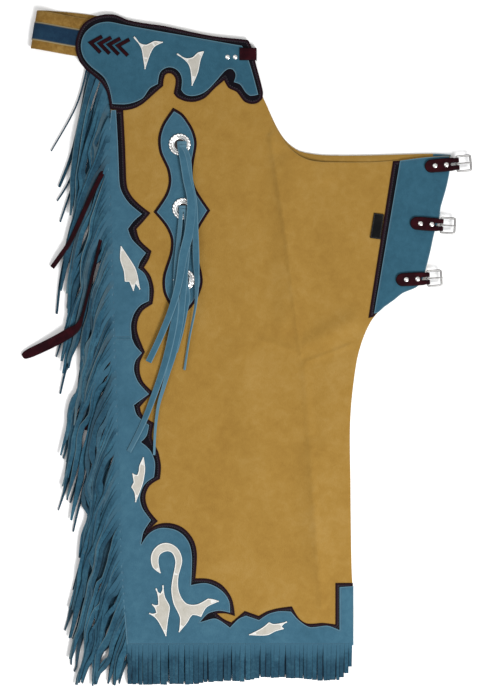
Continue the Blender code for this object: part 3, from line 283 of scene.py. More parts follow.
# %% Suede nap
def build_nap_group():
    """Soft patches, small blotches and brushed fibres."""
    group, given, result = new_group(
        "suede_nap",
        [
            ("Deep", COLOUR, (0.2, 0.1, 0.05, 1)), ("Main", COLOUR, (0.3, 0.2, 0.1, 1)),
            ("Pale", COLOUR, (0.4, 0.3, 0.2, 1)), ("Patch Scale", FLOAT, 14.0),
            ("Fibre Scale", FLOAT, 900.0), ("Mottle", FLOAT, 0.6),
        ],
        [("Color", COLOUR), ("Height", FLOAT)],
    )
    place = wire(group, "ShaderNodeTexCoord").outputs["Object"]
    patches = wire(
        group, "ShaderNodeTexNoise",
        {"Vector": place, "Scale": given["Patch Scale"], "Detail": 3.0, "Roughness": 0.55},
    ).outputs[0]
    finer = math_node(group, "MULTIPLY", given["Patch Scale"], 6.3)
    blotches = wire(
        group, "ShaderNodeTexNoise",
        {"Vector": place, "Scale": finer, "Detail": 5.0, "Roughness": 0.62, "Distortion": 0.4},
    ).outputs[0]
    brushed = wire(
        group, "ShaderNodeMapping", {"Vector": place, "Scale": (1.0, 0.4, 1.0)}
    ).outputs[0]
    fibres = wire(
        group, "ShaderNodeTexNoise",
        {"Vector": brushed, "Scale": given["Fibre Scale"], "Detail": 3.0, "Roughness": 0.7},
    ).outputs[0]
    sum_1 = math_node(group, "MULTIPLY_ADD", patches, 0.9)
    sum_1.node.inputs[2].default_value = -0.45
    sum_2 = math_node(group, "MULTIPLY_ADD", blotches, 1.0)
    group.links.new(sum_1, sum_2.node.inputs[2])
    sum_3 = math_node(group, "MULTIPLY_ADD", fibres, 0.55)
    group.links.new(sum_2, sum_3.node.inputs[2])
    centred = math_node(group, "SUBTRACT", sum_3, 0.775)
    swing = math_node(group, "MULTIPLY", centred, given["Mottle"])
    darker = math_node(group, "MULTIPLY", swing, -4.0)
    paler = math_node(group, "MULTIPLY", swing, 4.0)
    darker.node.use_clamp = True
    paler.node.use_clamp = True
    colour = mix_colours(group, darker, given["Main"], given["Deep"])
    colour = mix_colours(group, paler, colour, given["Pale"])
    group.links.new(colour, result.inputs["Color"])
    height = math_node(group, "MULTIPLY_ADD", blotches, 0.5)
    group.links.new(fibres, height.node.inputs[2])
    group.links.new(height, result.inputs["Height"])
    return group


NAP = build_nap_group()
print("group", NAP.name, "puts out", [s.name for s in NAP.interface.items_tree if s.in_out == "OUTPUT"])


# %% Leather grain, edge mask and metal wear
def build_grain_group():
    """Small rounded cells of smooth leather, with faint scuffs."""
    group, given, result = new_group(
        "leather_grain",
        [("Cell Scale", FLOAT, 700.0), ("Scuff Scale", FLOAT, 40.0)],
        [("Height", FLOAT), ("Scuff", FLOAT)],
    )
    place = wire(group, "ShaderNodeTexCoord").outputs["Object"]
    cells = wire(
        group, "ShaderNodeTexVoronoi", {"Vector": place, "Scale": given["Cell Scale"]},
        feature="SMOOTH_F1",
    ).outputs["Distance"]
    scuffs = wire(
        group, "ShaderNodeTexNoise",
        {"Vector": place, "Scale": given["Scuff Scale"], "Detail": 6.0, "Roughness": 0.65},
    ).outputs[0]
    group.links.new(math_node(group, "SUBTRACT", 1.0, cells), result.inputs["Height"])
    group.links.new(scuffs, result.inputs["Scuff"])
    return group


def build_edge_group():
    """A mask that is 1 on a piece's edge and fades to 0 at a distance in millimetres."""
    group, given, result = new_group(
        "edge_mask", [("Reach", FLOAT, 1.5), ("Start", FLOAT, 0.0)], [("Mask", FLOAT)]
    )
    edge = wire(group, "ShaderNodeAttribute", attribute_name="edge").outputs["Fac"]
    moved = math_node(group, "SUBTRACT", edge, given["Start"])
    share = math_node(group, "DIVIDE", math_node(group, "ABSOLUTE", moved), given["Reach"])
    share.node.use_clamp = True
    group.links.new(math_node(group, "SUBTRACT", 1.0, share), result.inputs["Mask"])
    return group


def build_plate_group():
    """Nickel plate: a slight haze, and painted shade with rougher metal where a piece marks its hollows or
    a rod's sides.
    """
    group, given, result = new_group(
        "nickel_plate",
        [("Bright", COLOUR, (0.8, 0.8, 0.8, 1)), ("Dull", COLOUR, (0.1, 0.1, 0.1, 1))],
        [("Color", COLOUR), ("Roughness", FLOAT), ("Height", FLOAT)],
    )
    place = wire(group, "ShaderNodeTexCoord").outputs["Object"]
    haze = wire(
        group, "ShaderNodeTexNoise",
        {"Vector": place, "Scale": 350.0, "Detail": 5.0, "Roughness": 0.6},
    ).outputs[0]
    # This mark paints shade: it mixes the plate towards its dark colour, and it also makes the metal
    # rougher.
    recess = wire(group, "ShaderNodeAttribute", attribute_name="recess").outputs["Fac"]
    group.links.new(mix_colours(group, recess, given["Bright"], given["Dull"]), result.inputs["Color"])
    rough = math_node(group, "MULTIPLY_ADD", haze, 0.22)
    rough.node.inputs[2].default_value = 0.08
    group.links.new(math_node(group, "MULTIPLY_ADD", recess, 0.3), result.inputs["Roughness"])
    group.links.new(rough, result.inputs["Roughness"].links[0].from_node.inputs[2])
    group.links.new(haze, result.inputs["Height"])
    return group


def build_strand_group():
    """Strands of fringe: paler at the root, greyer by strand, with painted shade along their lower side."""
    group, given, result = new_group(
        "fringe_strand",
        [
            ("Face", COLOUR, (0.1, 0.2, 0.3, 1)), ("Shade", COLOUR, (0.01, 0.02, 0.03, 1)),
            ("Flesh", COLOUR, (0.2, 0.2, 0.2, 1)), ("Root", COLOUR, (0.1, 0.2, 0.3, 1)),
        ],
        [("Color", COLOUR), ("Lit", FLOAT)],
    )
    marks = {
        mark: wire(group, "ShaderNodeAttribute", attribute_name=mark).outputs["Fac"]
        for mark in ("shade", "flesh", "root", "lit")
    }
    away = math_node(group, "SUBTRACT", 1.0, marks["root"])
    shade = math_node(group, "MULTIPLY", marks["shade"], away)
    colour = mix_colours(group, marks["flesh"], given["Face"], given["Flesh"])
    colour = mix_colours(group, marks["root"], colour, given["Root"])
    group.links.new(mix_colours(group, shade, colour, given["Shade"]), result.inputs["Color"])
    lit = math_node(group, "SUBTRACT", marks["lit"], marks["shade"])
    lit.node.use_clamp = True
    group.links.new(math_node(group, "MULTIPLY", lit, away), result.inputs["Lit"])
    return group


GRAIN, EDGE, PLATE = build_grain_group(), build_edge_group(), build_plate_group()
STRAND = build_strand_group()


# %% Materials
def use_group(tree, group, **values):
    """Place a node group in a material with its own values."""
    node = tree.nodes.new("ShaderNodeGroup")
    node.node_tree = group
    for name, value in values.items():
        socket = node.inputs[name.replace("_", " ")]
        if isinstance(value, bpy.types.NodeSocket):
            tree.links.new(value, socket)
        else:
            socket.default_value = value
    return node.outputs


def new_material(name, **constants):
    """A material with a Principled shader whose plain values are set on its own sockets."""
    material = bpy.data.materials.new(name)
    material.use_nodes = True
    tree = material.node_tree
    shader = tree.nodes["Principled BSDF"]
    for label, value in constants.items():
        shader.inputs[label.replace("_", " ")].default_value = value
    return material, tree, shader.inputs


def add_bump(tree, target, height, distance, strength=1.0):
    bump = wire(tree, "ShaderNodeBump", {"Height": height, "Distance": distance, "Strength": strength})
    tree.links.new(bump.outputs[0], target["Normal"])


def suede(name, deep, main, pale, cut, patch=14.0, mottle=0.6, fibre=900.0, nap=0.0004,
          reach=0.9, strands=False):
    """Suede with a darker or paler cut edge, and with shaded, greying strands where asked."""
    material, tree, shader = new_material(
        name, Roughness=0.92, Sheen_Weight=0.05, Sheen_Roughness=0.45, Specular_IOR_Level=0.12
    )
    face = use_group(
        tree, NAP, Deep=photo_colour(*deep), Main=photo_colour(*main), Pale=photo_colour(*pale),
        Patch_Scale=patch, Fibre_Scale=fibre, Mottle=mottle,
    )
    rim = use_group(tree, EDGE, Reach=reach)["Mask"]
    colour = face["Color"]
    if strands:
        strand = use_group(
            tree, STRAND, Face=colour, Shade=photo_colour(14, 30, 46),
            Flesh=photo_colour(92, 104, 106), Root=photo_colour(64, 108, 130),
        )
        colour = strand["Color"]
        rim = math_node(tree, "MULTIPLY", rim, strand["Lit"])
    tree.links.new(mix_colours(tree, rim, colour, photo_colour(*cut)), shader["Base Color"])
    add_bump(tree, shader, face["Height"], nap)
    return material


def smooth_leather(name, main, worn, ridge=None, border=None, roughness=0.45):
    """Dark leather, paler where scuffed; ridge colours a rolled lip and paints a highlight along its crest,
    border an inked edge.
    """
    material, tree, shader = new_material(
        name, Specular_IOR_Level=0.05, Coat_Weight=0.01, Coat_Roughness=0.2
    )
    grain = use_group(tree, GRAIN, Cell_Scale=900.0, Scuff_Scale=55.0)
    scuffed = math_node(tree, "MULTIPLY_ADD", grain["Scuff"], 2.4)
    scuffed.node.inputs[2].default_value = -1.1
    scuffed.node.use_clamp = True
    colour = mix_colours(tree, scuffed, photo_colour(*main), photo_colour(*worn))
    if ridge:
        lip = use_group(tree, EDGE, Start=1.4, Reach=1.4)["Mask"]
        # The crest's pale colour is a painted highlight along the rolled lip.
        crest = use_group(tree, EDGE, Start=3.3, Reach=0.5)["Mask"]
        colour = mix_colours(tree, lip, colour, photo_colour(*ridge[0]))
        colour = mix_colours(tree, crest, colour, photo_colour(*ridge[1]))
    if border:
        rim = use_group(tree, EDGE, Reach=1.4)["Mask"]
        colour = mix_colours(tree, rim, colour, photo_colour(*border))
    tree.links.new(colour, shader["Base Color"])
    rough = math_node(tree, "MULTIPLY_ADD", grain["Scuff"], 0.3)
    rough.node.inputs[2].default_value = roughness - 0.15
    tree.links.new(rough, shader["Roughness"])
    add_bump(tree, shader, grain["Height"], 0.00012, 0.6)
    return material


TAN = suede("tan_suede", (152, 112, 46), (170, 131, 60), (184, 148, 82), (180, 148, 88),
            patch=10.0, mottle=0.42)
BELT_TAN = suede("belt_tan_suede", (116, 84, 34), (146, 110, 50), (170, 136, 74), (176, 148, 96),
                 patch=22.0, mottle=0.7)
BLUE = suede("blue_suede", (50, 92, 112), (63, 107, 129), (78, 124, 144), (112, 150, 168),
             mottle=0.42, reach=1.5)
# A darker copy of the blue suede. The facing is the same leather as the border, so on the facing this
# darker colour is painted shade.
DARKER_BLUE = suede("yoke_blue_suede", (38, 78, 98), (51, 97, 118), (64, 112, 135), (112, 152, 168),
                  mottle=0.42, reach=1.5)
# The strands are cut from the border's leather; their darker colour is painted shade, while the root keeps
# the border's blue.
SHADED_FRINGE_BLUE = suede("shaded_fringe_blue_suede", (30, 68, 88), (46, 90, 112), (66, 114, 134),
                    (132, 152, 154), patch=40.0, mottle=0.7, strands=True)
STRIPE_BLUE = suede("belt_stripe_suede", (14, 38, 60), (22, 51, 76), (34, 68, 92), (178, 160, 116),
                    reach=2.8)
# The second colour of the rim's ridge is the crest's painted highlight.
RIM = smooth_leather("rim_leather", (13, 10, 18), (24, 18, 28), ((38, 8, 16), (66, 46, 60)))
STRAP = smooth_leather("strap_leather", (36, 4, 12), (68, 12, 22), border=(10, 5, 9))
LABEL = smooth_leather("label_leather", (14, 14, 16), (32, 32, 30))
WHITE = suede("white_leather", (184, 180, 166), (203, 199, 189), (220, 217, 208), (250, 250, 248),
              mottle=0.5, nap=0.0002)


def build_thread(name, colour):
    material, tree, shader = new_material(name, Roughness=0.6, Sheen_Weight=0.1)
    ply = use_group(tree, GRAIN, Cell_Scale=2600.0, Scuff_Scale=400.0)
    shade = mix_colours(tree, 0.25, photo_colour(*colour), ply["Scuff"], "OVERLAY")
    tree.links.new(shade, shader["Base Color"])
    add_bump(tree, shader, ply["Height"], 0.00008)
    return material


def build_nickel():
    material, tree, shader = new_material("nickel", Metallic=1.0)
    # The dark colour is the painted shade of hollows and of a rod's sides.
    plate = use_group(tree, PLATE, Bright=(0.94, 0.93, 0.91, 1.0), Dull=(0.05, 0.045, 0.045, 1.0))
    tree.links.new(plate["Color"], shader["Base Color"])
    tree.links.new(plate["Roughness"], shader["Roughness"])
    add_bump(tree, shader, plate["Height"], 0.00002, 0.4)
    return material


BLUE_THREAD = build_thread("blue_thread", (50, 86, 106))
WHITE_THREAD = build_thread("white_thread", (248, 246, 240))
DARK_THREAD = build_thread("dark_thread", (30, 22, 30))
NICKEL = build_nickel()
print("materials:", len(bpy.data.materials))


# %% [markdown]
# ## How a leather piece is built
# A cut piece of leather has even thickness, a flat back and an edge that is rounded by wear. It is
# made here as rings round its outline, closed by a fine triangle mesh over the face. Each point
# also stores its distance from the edge, so a material can darken a border or draw a rolled lip.


# %% Put a mesh into the scene
def into_scene(name, points, faces, material, slot, body="root", **attributes):
    """Make a smooth mesh, store its attributes, and let it ride on a CAD body."""
    mesh = bpy.data.meshes.new(name)
    mesh.from_pydata([tuple(map(float, p)) for p in points], [], faces)
    mesh.polygons.foreach_set("use_smooth", [True] * len(mesh.polygons))
    for label, values in attributes.items():
        layer = mesh.attributes.new(label, "FLOAT", "POINT")
        layer.data.foreach_set("value", np.asarray(values, np.float32))
    mesh.materials.append(material)
    piece = bpy.data.objects.new(name, mesh)
    bpy.context.scene.collection.objects.link(piece)
    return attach(piece, body)


def cover(loop, extra):
    """Triangles over an outline with extra points on its face."""
    edges = [(i, (i + 1) % len(loop)) for i in range(len(loop))]
    points = [Vector(p) for p in loop] + [Vector(p) for p in extra]
    found, _, faces, *_ = delaunay_2d_cdt(points, edges, [], 1, 1e-7)
    found = np.array(found)
    middles = found[np.array(faces)].mean(1)
    keep = is_inside(middles, loop)
    return found, [tuple(face) for face, kept in zip(faces, keep) if kept]


# %% Build a leather piece
def no_lift(spots):
    return np.zeros(len(spots))


def leather_piece(
    name, outline, low, high, material, slot, step=0.006, lip=None, lift=no_lift,
    round_edge=0.0004, longest=0.004, layers=None, extra=(),
):
    """A flat piece with a rounded edge.

    lip = (insets, function) gives rows of points along the edge and their height as a function of
    the distance from it. lift gives the rise of the whole piece at its places. layers replaces the
    plain side by rings of (inset, height). extra gives more points on the face.
    """
    loop = refined(outline, longest)
    rings = layers or [
        (0.3 * round_edge, low), (0.0, low + 0.3 * (high - low)), (0.0, high - round_edge),
        (0.3 * round_edge, high - 0.3 * round_edge),
    ]
    face_loop = moved_in(loop, round_edge)
    insets, profile = lip or ([], no_lift)
    widest = max(insets, default=0.0)
    spots = [
        rows_inside(face_loop, insets),
        grid_inside(face_loop, step, widest + 0.4 * step),
        np.array(extra).reshape(-1, 2),
    ]
    flat, faces = cover(face_loop, np.concatenate(spots))
    distance = edge_distance(flat, loop)
    points = [*np.column_stack([flat, high + profile(distance) + lift(flat)])]
    edge = [*distance]
    above = list(range(len(loop)))
    for inset, z in reversed(rings):
        ring = np.array(moved_in(loop, inset))
        below = list(range(len(points), len(points) + len(loop)))
        points += [*np.column_stack([ring, z + lift(ring)])]
        edge += [0.0] * len(loop)
        for i in range(len(loop)):
            after = (i + 1) % len(loop)
            faces.append((below[i], below[after], above[after], above[i]))
        above = below
    last = [Vector(points[i][:2]) for i in above]
    back, back_faces = cover(last, grid_inside(last, 3 * step, step))
    inner = above + list(range(len(points), len(points) + len(back) - len(loop)))
    back = back[len(loop):]
    points += [*np.column_stack([back, rings[0][1] + lift(back)])]
    edge += [5.0] * len(back)
    faces += [tuple(inner[i] for i in reversed(face)) for face in back_faces]
    piece = into_scene(name, points, faces, material, slot, edge=np.array(edge) * 1000)
    sides = list(zip(loop, loop[1:] + loop[:1]))
    piece["cut_area"] = abs(sum(a.cross(b) for a, b in sides)) / 2
    piece["cut_edge"] = sum((b - a).length for a, b in sides)
    return piece


def as_sheet(piece, bent=False, with_pieces=()):
    """Print the size of the cut of a piece of leather.

    The size is that of the smallest rectangle round it, or of a straight strip with the same area
    and edge where the piece is a bent strip.
    """
    spots = np.array([v.co[:2] for v in piece.data.vertices])
    sizes = []
    for angle in np.radians(np.arange(0, 90, 2)):
        turned = spots @ np.array([[np.cos(angle), -np.sin(angle)], [np.sin(angle), np.cos(angle)]])
        sizes.append(tuple(turned.max(0) - turned.min(0)))
    width, length = min(sizes, key=lambda size: size[0] * size[1])
    area = piece["cut_area"]
    if bent:
        half = piece["cut_edge"] / 2
        length = (half + math.sqrt(half**2 - 4 * area)) / 2
        width = area / length
    print(piece.name, "cut in mm:", round(width * 1000), "x", round(length * 1000),
          "area share", round(area / (width * length), 3))
    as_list(with_pieces)


# %% [markdown]
# ## The two legs
# The right leg is one large piece of tan suede. It lies on the folded left leg, so it has soft
# rises where the layers below it bulge. The CAD surface already has the main rises. A ray cast
# finds its height at each point, and slow waves are added where no other piece lies on it.

# %% The CAD surface of the leg
leg_mesh = frame["nodes"]["right_leg"].data
leg_tree = BVHTree.FromPolygons(
    [v.co for v in leg_mesh.vertices], [tuple(p.vertices) for p in leg_mesh.polygons]
)
LEG_FLAT = min(v.co.z for v in leg_mesh.vertices) + 0.0017
COVERED = ["border_welt", "yoke_welt", "concho_plate_welt", "facing_welt"]
DOWN = Vector((0.0, 0.0, -1.0))


def leg_rise(spot):
    """How far the leg's CAD surface stands above its flat level at a place."""
    place = Vector((spot[0], spot[1], 0.1))
    hit = leg_tree.ray_cast(place, DOWN)[0]
    if hit is None:
        near = leg_tree.find_nearest(Vector((spot[0], spot[1], LEG_FLAT)))[0]
        return near.z - LEG_FLAT if near.z > LEG_FLAT else 0.0
    return max(0.0, hit.z - LEG_FLAT)


# Folds of the free leather. Columns: x, y of both ends, height and half width in metres.
SOFT_FOLDS = [
    (271, 136, 286, 232, 0.0026, 0.0052), (286, 232, 301, 354, 0.0022, 0.0046),
    (305, 366, 312, 470, 0.0018, 0.0062), (312, 470, 322, 606, 0.0020, 0.0062),
    (306, 345, 330, 334, 0.0030, 0.0120), (322, 337, 352, 322, 0.0048, 0.0160),
    (306, 362, 350, 345, 0.0013, 0.0040),
    (262, 340, 301, 353, 0.0012, 0.0050), (248, 180, 250, 300, 0.0010, 0.0220),
    (330, 400, 334, 540, 0.0012, 0.0200), (345, 175, 372, 210, 0.0010, 0.0140),
    (205, 470, 222, 570, 0.0010, 0.0220), (225, 120, 262, 130, 0.0010, 0.0140),
]


def fold_rows(loop):
    """Closer points along each fold, so that its ridge is smooth."""
    spots = []
    for x0, y0, x1, y1, _, half in SOFT_FOLDS:
        start, way = board(x0, y0), board(x1, y1) - board(x0, y0)
        side = Vector((-way.y, way.x)).normalized() * half
        for share in np.arange(-0.1, 1.1, 0.004 / way.length):
            spots += [start + way * share + side * off for off in (-1.6, -1.0, -0.5, 0, 0.5, 1.0, 1.6)]
    spots = np.array(spots)
    spots = spots[is_inside(spots, loop)]
    return spots[edge_distance(spots, loop) > 0.004]


def fold_rise(spots):
    """The height that the long soft folds add at each place."""
    rise = np.zeros(len(spots))
    for x0, y0, x1, y1, height, half in SOFT_FOLDS:
        start, way = np.array(board(x0, y0)), np.array(board(x1, y1) - board(x0, y0))
        share = np.clip((spots - start) @ way / (way @ way), 0, 1)
        off = np.linalg.norm(spots - start - share[:, None] * way, axis=1) / half
        rise = np.maximum(rise, height * np.exp(-off * off))
    return rise


covered_loops = [refined(OUTLINES[node], 0.012) for node in COVERED]


def free_share(spots):
    """0 under a piece that lies on the leg, 1 well away from all of them."""
    nearest = np.min([edge_distance(spots, loop) for loop in covered_loops], axis=0)
    hidden = np.any([is_inside(spots, loop) for loop in covered_loops], axis=0)
    return np.where(hidden, 0.0, np.minimum(1.0, nearest / 0.02))


# %% Right leg
def leg_lift(spots):
    return np.array([leg_rise(spot) for spot in spots]) + fold_rise(spots) * free_share(spots)


leg_low, _ = heights("right_leg")
right_leg = leather_piece(
    "right_leg_suede", OUTLINES["right_leg"], leg_low, LEG_FLAT, TAN, "tan_suede", step=0.0065,
    lift=leg_lift, round_edge=0.0006, longest=0.005, extra=fold_rows(OUTLINES["right_leg"]),
)
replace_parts(right_leg, "right_leg")
print("right leg triangles:", len(right_leg.data.polygons))

# %% [markdown]
# The left leg lies folded under the right one. Only its edge shows, above the crotch and at the
# sides, so it is one stack with the rounded edges of its two layers and a groove between them.

# %% Left leg
hidden_low, hidden_high = heights("left_leg")
stack = [
    (0.0008, hidden_low), (0.0003, 0.0003), (0.0, 0.0008), (0.0001, 0.0014), (0.0012, 0.0018),
    (0.0012, 0.0021), (0.0001, 0.0025), (0.0, 0.0030), (0.0003, 0.0036),
]
left_leg = leather_piece(
    "left_leg_suede", OUTLINES["left_leg"], hidden_low, hidden_high, TAN, "tan_suede", step=0.02,
    round_edge=0.0008, layers=stack,
)
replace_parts(left_leg, "left_leg")
left_leg.data.materials.append(BLUE)
for face in left_leg.data.polygons:
    face.material_index = int(face.center.x > board(433.5, 0).x)

# %% [markdown]
# ## Blue overlays on dark rims
# Each blue piece is sewn onto a wider piece of dark leather, whose turned edge shows as a glossy
# rim. The rim has a rolled lip, a narrow crest and a flat part that runs under the blue. A lip
# profile along the edge gives this cheaply, and it takes the highlights that mark a rolled edge.
# The pale line along the crest is a painted highlight.


# %% Rims
RIM_ROWS = [0.0005, 0.0012, 0.0020, 0.0026, 0.0029, 0.0033, 0.0042]


def rim_profile(distance):
    """Height of the rim's face over its distance from the edge, from lip to groove."""
    mm = distance * 1000
    lip = 0.00005 - 0.00045 * (np.minimum(mm, 3.0) / 1.6 - 1) ** 2
    crest = 0.00030 * np.exp(-(((mm - 3.3) / 0.35) ** 2))
    return lip + crest


def make_rim(node):
    rim = leather_piece(
        node.replace("_welt", "_rim_leather"), OUTLINES[node], RIM_LOW, RIM_HIGH, RIM,
        "dark_leather", step=0.010, lip=(RIM_ROWS, rim_profile), longest=0.003,
    )
    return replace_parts(rim, node)


rims = {node: make_rim(node) for node in COVERED}
print("rim triangles:", {name: len(rim.data.polygons) for name, rim in rims.items()})


# %% Blue pieces
SEAM_INSET = 0.0022
BLUE_ROWS = [0.0008, 0.0014, 0.0018, 0.0022, 0.0030]


def blue_profile(distance):
    """The blue leather is pressed down along its seam and springs up at its cut edge."""
    return -0.00022 * np.exp(-(((distance - SEAM_INSET) / 0.0007) ** 2))


def make_overlay(node, material):
    piece = leather_piece(
        f"{node}_suede", OUTLINES[node], BLUE_LOW, BLUE_HIGH, material, "blue_suede", step=0.008,
        lip=(BLUE_ROWS, blue_profile), longest=0.003,
    )
    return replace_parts(piece, node)


# The yoke and the facing take the darker copy of the blue; on the facing it is painted shade.
overlays = {
    node: make_overlay(node, DARKER_BLUE if node in ("yoke", "facing") else BLUE)
    for node in ("yoke", "border_upper", "border_lower", "concho_plate", "facing")
}
# The two lengths of the border butt together, so no pale cut edge shows at their seam.
border_seam = board(0, 338).y
for node in ("border_upper", "border_lower"):
    mesh = overlays[node].data
    ends = [p.x for p in OUTLINES[node] if abs(p.y - border_seam) < 1.5 * SQUARE]
    for vertex, mark in zip(mesh.vertices, mesh.attributes["edge"].data):
        inside = min(ends) + 0.002 < vertex.co.x < max(ends) - 0.003
        if inside and abs(vertex.co.y - border_seam) < 2.5 * SQUARE:
            mark.value = 5.0
print("overlay triangles:", {name: len(piece.data.polygons) for name, piece in overlays.items()})

# %% [markdown]
# ## Stitches
# The seams are sewn on a machine at about eight stitches to the inch, close to the edge of each
# blue piece. Every stitch is a small rounded bead of thread that sits in the seam's groove. Real
# beads catch the light from any side, which a painted line wouldn't.


# %% Stitch rows
class MeshParts:
    """Gathers many small shapes into one mesh, with the marks that their material reads."""

    def __init__(self):
        self.points, self.faces, self.edge = [], [], []
        self.marks = {"shade": [], "flesh": [], "root": [], "lit": []}

    def add(self, points, faces, edge=None, **marks):
        first = len(self.points)
        self.points += points
        self.faces += [tuple(first + i for i in face) for face in faces]
        self.edge += edge or [0.0] * len(points)
        for mark, values in self.marks.items():
            values += marks.get(mark) or [0.0] * len(points)


def add_bead(parts, centre, way, length, width, height):
    """One stitch: a low rounded bead along its direction."""
    side = Vector((-way.y, way.x, 0.0))
    way = Vector((way.x, way.y, 0.0))
    points, sides = [], 6
    for share, size in ((-0.5, 0.35), (-0.3, 1.0), (0.3, 1.0), (0.5, 0.35)):
        for k in range(sides):
            angle = 2 * math.pi * k / sides
            offset = side * math.cos(angle) * width / 2 + Vector((0, 0, math.sin(angle) * height))
            points.append(centre + way * share * length + offset * size)
    faces = [tuple(reversed(range(sides))), tuple(range(3 * sides, 4 * sides))]
    for ring in range(3):
        for k in range(sides):
            after = (k + 1) % sides
            base = ring * sides
            faces.append((base + k, base + after, base + sides + after, base + sides + k))
    parts.add(points, faces)


def walk(line, pitch, closed=True):
    """Places and directions at even steps along a line."""
    ends = line[1:] + line[:1] if closed else line[1:]
    left = pitch / 2
    for start, end in zip(line, ends):
        run = (end - start).length
        if run < 1e-9:
            continue
        way = (end - start) / run
        while left < run:
            yield start + way * left, way
            left += pitch
        left -= run


def stitch_outline(name, loop, inset, level, material, slot, pitch=0.0031, width=0.0007):
    """Stitches round a piece, left out where the seam would run off a narrow tip."""
    parts = MeshParts()
    line = moved_in(refined(loop, 0.003), inset)
    places = list(walk(line, pitch))
    room = edge_distance([p for p, _ in places], loop)
    for (place, way), near in zip(places, room):
        if near > 0.9 * inset:
            add_bead(parts, Vector((*place, level)), way, pitch * 0.72, width, 0.00022)
    return into_scene(name, parts.points, parts.faces, material, slot, edge=parts.edge)


SEAM_LEVEL = BLUE_HIGH - 0.0002
seams = {}
for node in overlays:
    seams[node] = stitch_outline(
        f"{node}_stitches", OUTLINES[node], SEAM_INSET, SEAM_LEVEL, BLUE_THREAD, "blue_suede"
    )
rim_seams = {}
for node in COVERED:
    rim_seams[node] = stitch_outline(
        node.replace("_welt", "_rim_stitches"), OUTLINES[node], 0.0046, RIM_HIGH - 0.0003,
        DARK_THREAD, "dark_leather", pitch=0.0036,
    )
print("stitched seams:", len(seams) + len(rim_seams))

# %% [markdown]
# ## White inlays
# The leaves and the scroll are white leather with a dense bright stitch over their edges. Each one
# is a thin plate, and the edge stitch is a fine cord that is ribbed like satin stitch. The shapes
# are plain leaves and a plain hook, as on any western pattern.


# %% Cord along an outline
def add_cord(parts, line, radius, closed=True, sides=6, ribs=0.16, flat=0.8):
    """A round cord along 3-D points, with small ribs."""
    count = len(line)
    points = []
    for i, here in enumerate(line):
        before = line[i - 1] if closed or i else here
        after = line[(i + 1) % count] if closed or i < count - 1 else here
        way = (after - before).normalized()
        side = Vector((-way.y, way.x, 0.0)).normalized()
        up = way.cross(side)
        size = radius * (1 + ribs * (1 if i % 2 else -1))
        for k in range(sides):
            angle = 2 * math.pi * k / sides
            points.append(here + (side * math.cos(angle) + up * math.sin(angle) * flat) * size)
    faces = []
    for i in range(count if closed else count - 1):
        after_ring = (i + 1) % count
        for k in range(sides):
            after = (k + 1) % sides
            faces.append(
                (i * sides + k, i * sides + after, after_ring * sides + after, after_ring * sides + k)
            )
    if not closed:
        faces += [tuple(range(sides)), tuple(reversed(range((count - 1) * sides, count * sides)))]
    parts.add(points, faces)


INLAYS = [
    "yoke_leaf_1", "yoke_leaf_2", "leaf_upper", "leaf_middle", "scroll", "leaf_corner", "leaf_hem"
]
UPPER = ["leaf_upper"]
on_overlay = {node: [seams[node]] for node in overlays}
for node in INLAYS:
    leaf = leather_piece(
        f"{node}_leather", OUTLINES[node], INLAY_LOW, INLAY_HIGH, WHITE, "white_leather",
        step=0.005, round_edge=0.0002, longest=0.0025,
    )
    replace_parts(leaf, node)
    parts = MeshParts()
    rope = moved_in(refined(OUTLINES[node], 0.0009), 0.0005)
    add_cord(parts, [Vector((*p, INLAY_HIGH)) for p in rope], 0.00085)
    edge_rope = into_scene(f"{node}_edge", parts.points, parts.faces, WHITE_THREAD, "white_leather",
                           edge=parts.edge)
    on_overlay["yoke" if "yoke" in node else "border_upper" if node in UPPER else "border_lower"] += [
        leaf, edge_rope,
    ]
print("inlays:", len(INLAYS))


# %% [markdown]
# ## Chevrons and label
# The four chevrons at the yoke's end are laced from a narrow dark thong, so each is a rounded bent
# bar. The label on the facing's rim is a bare patch of dark leather, sewn on along its edge.


# %% Chevrons and label
def thong_profile(distance):
    """A rounded back: highest along the thong's middle."""
    return -0.0005 * np.maximum(0.0, 1 - distance / 0.0021) ** 2


for number in range(1, 5):
    node = f"chevron_{number}"
    bar = leather_piece(
        f"{node}_thong", moved_in(OUTLINES[node], -0.0006), INLAY_LOW, INLAY_HIGH, STRAP,
        "dark_leather", step=0.002,
        lip=([0.0004, 0.0009, 0.0015], thong_profile), round_edge=0.0003, longest=0.002,
    )
    on_overlay["yoke"].append(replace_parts(bar, node))
label_low, label_high = heights("label")
label = leather_piece(
    "label_patch", OUTLINES["label"], label_low, label_high, LABEL, "dark_leather", step=0.004,
    round_edge=0.0003,
)
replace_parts(label, "label")
label_seam = stitch_outline("label_stitches", OUTLINES["label"], 0.0013, label_high, DARK_THREAD,
                            "dark_leather", pitch=0.0024)
on_rim = {node: [rim_seams[node]] for node in rims}
on_rim["facing_welt"] += [label, label_seam]


# %% [markdown]
# ## Ribbons of leather
# Fringe strands, thongs and straps are all flat ribbons that follow a line. One helper sweeps a
# rounded section along a course and leans it to one side. A ribbon's sides are marked as its edge,
# so that the material shows them as cut leather.


# %% Ribbon helper
# Section of a ribbon. Columns: across, up, share of half the width from the edge.
RIBBON_SECTION = [
    (-1.0, -0.5, 0.0), (-1.0, 0.5, 0.0), (-0.9, 1.0, 0.1), (-0.66, 1.1, 0.34), (0.66, 1.1, 0.34),
    (0.9, 1.0, 0.1), (1.0, 0.5, 0.0), (1.0, -0.5, 0.0), (0.9, -1.0, 0.1), (-0.9, -1.0, 0.1),
]


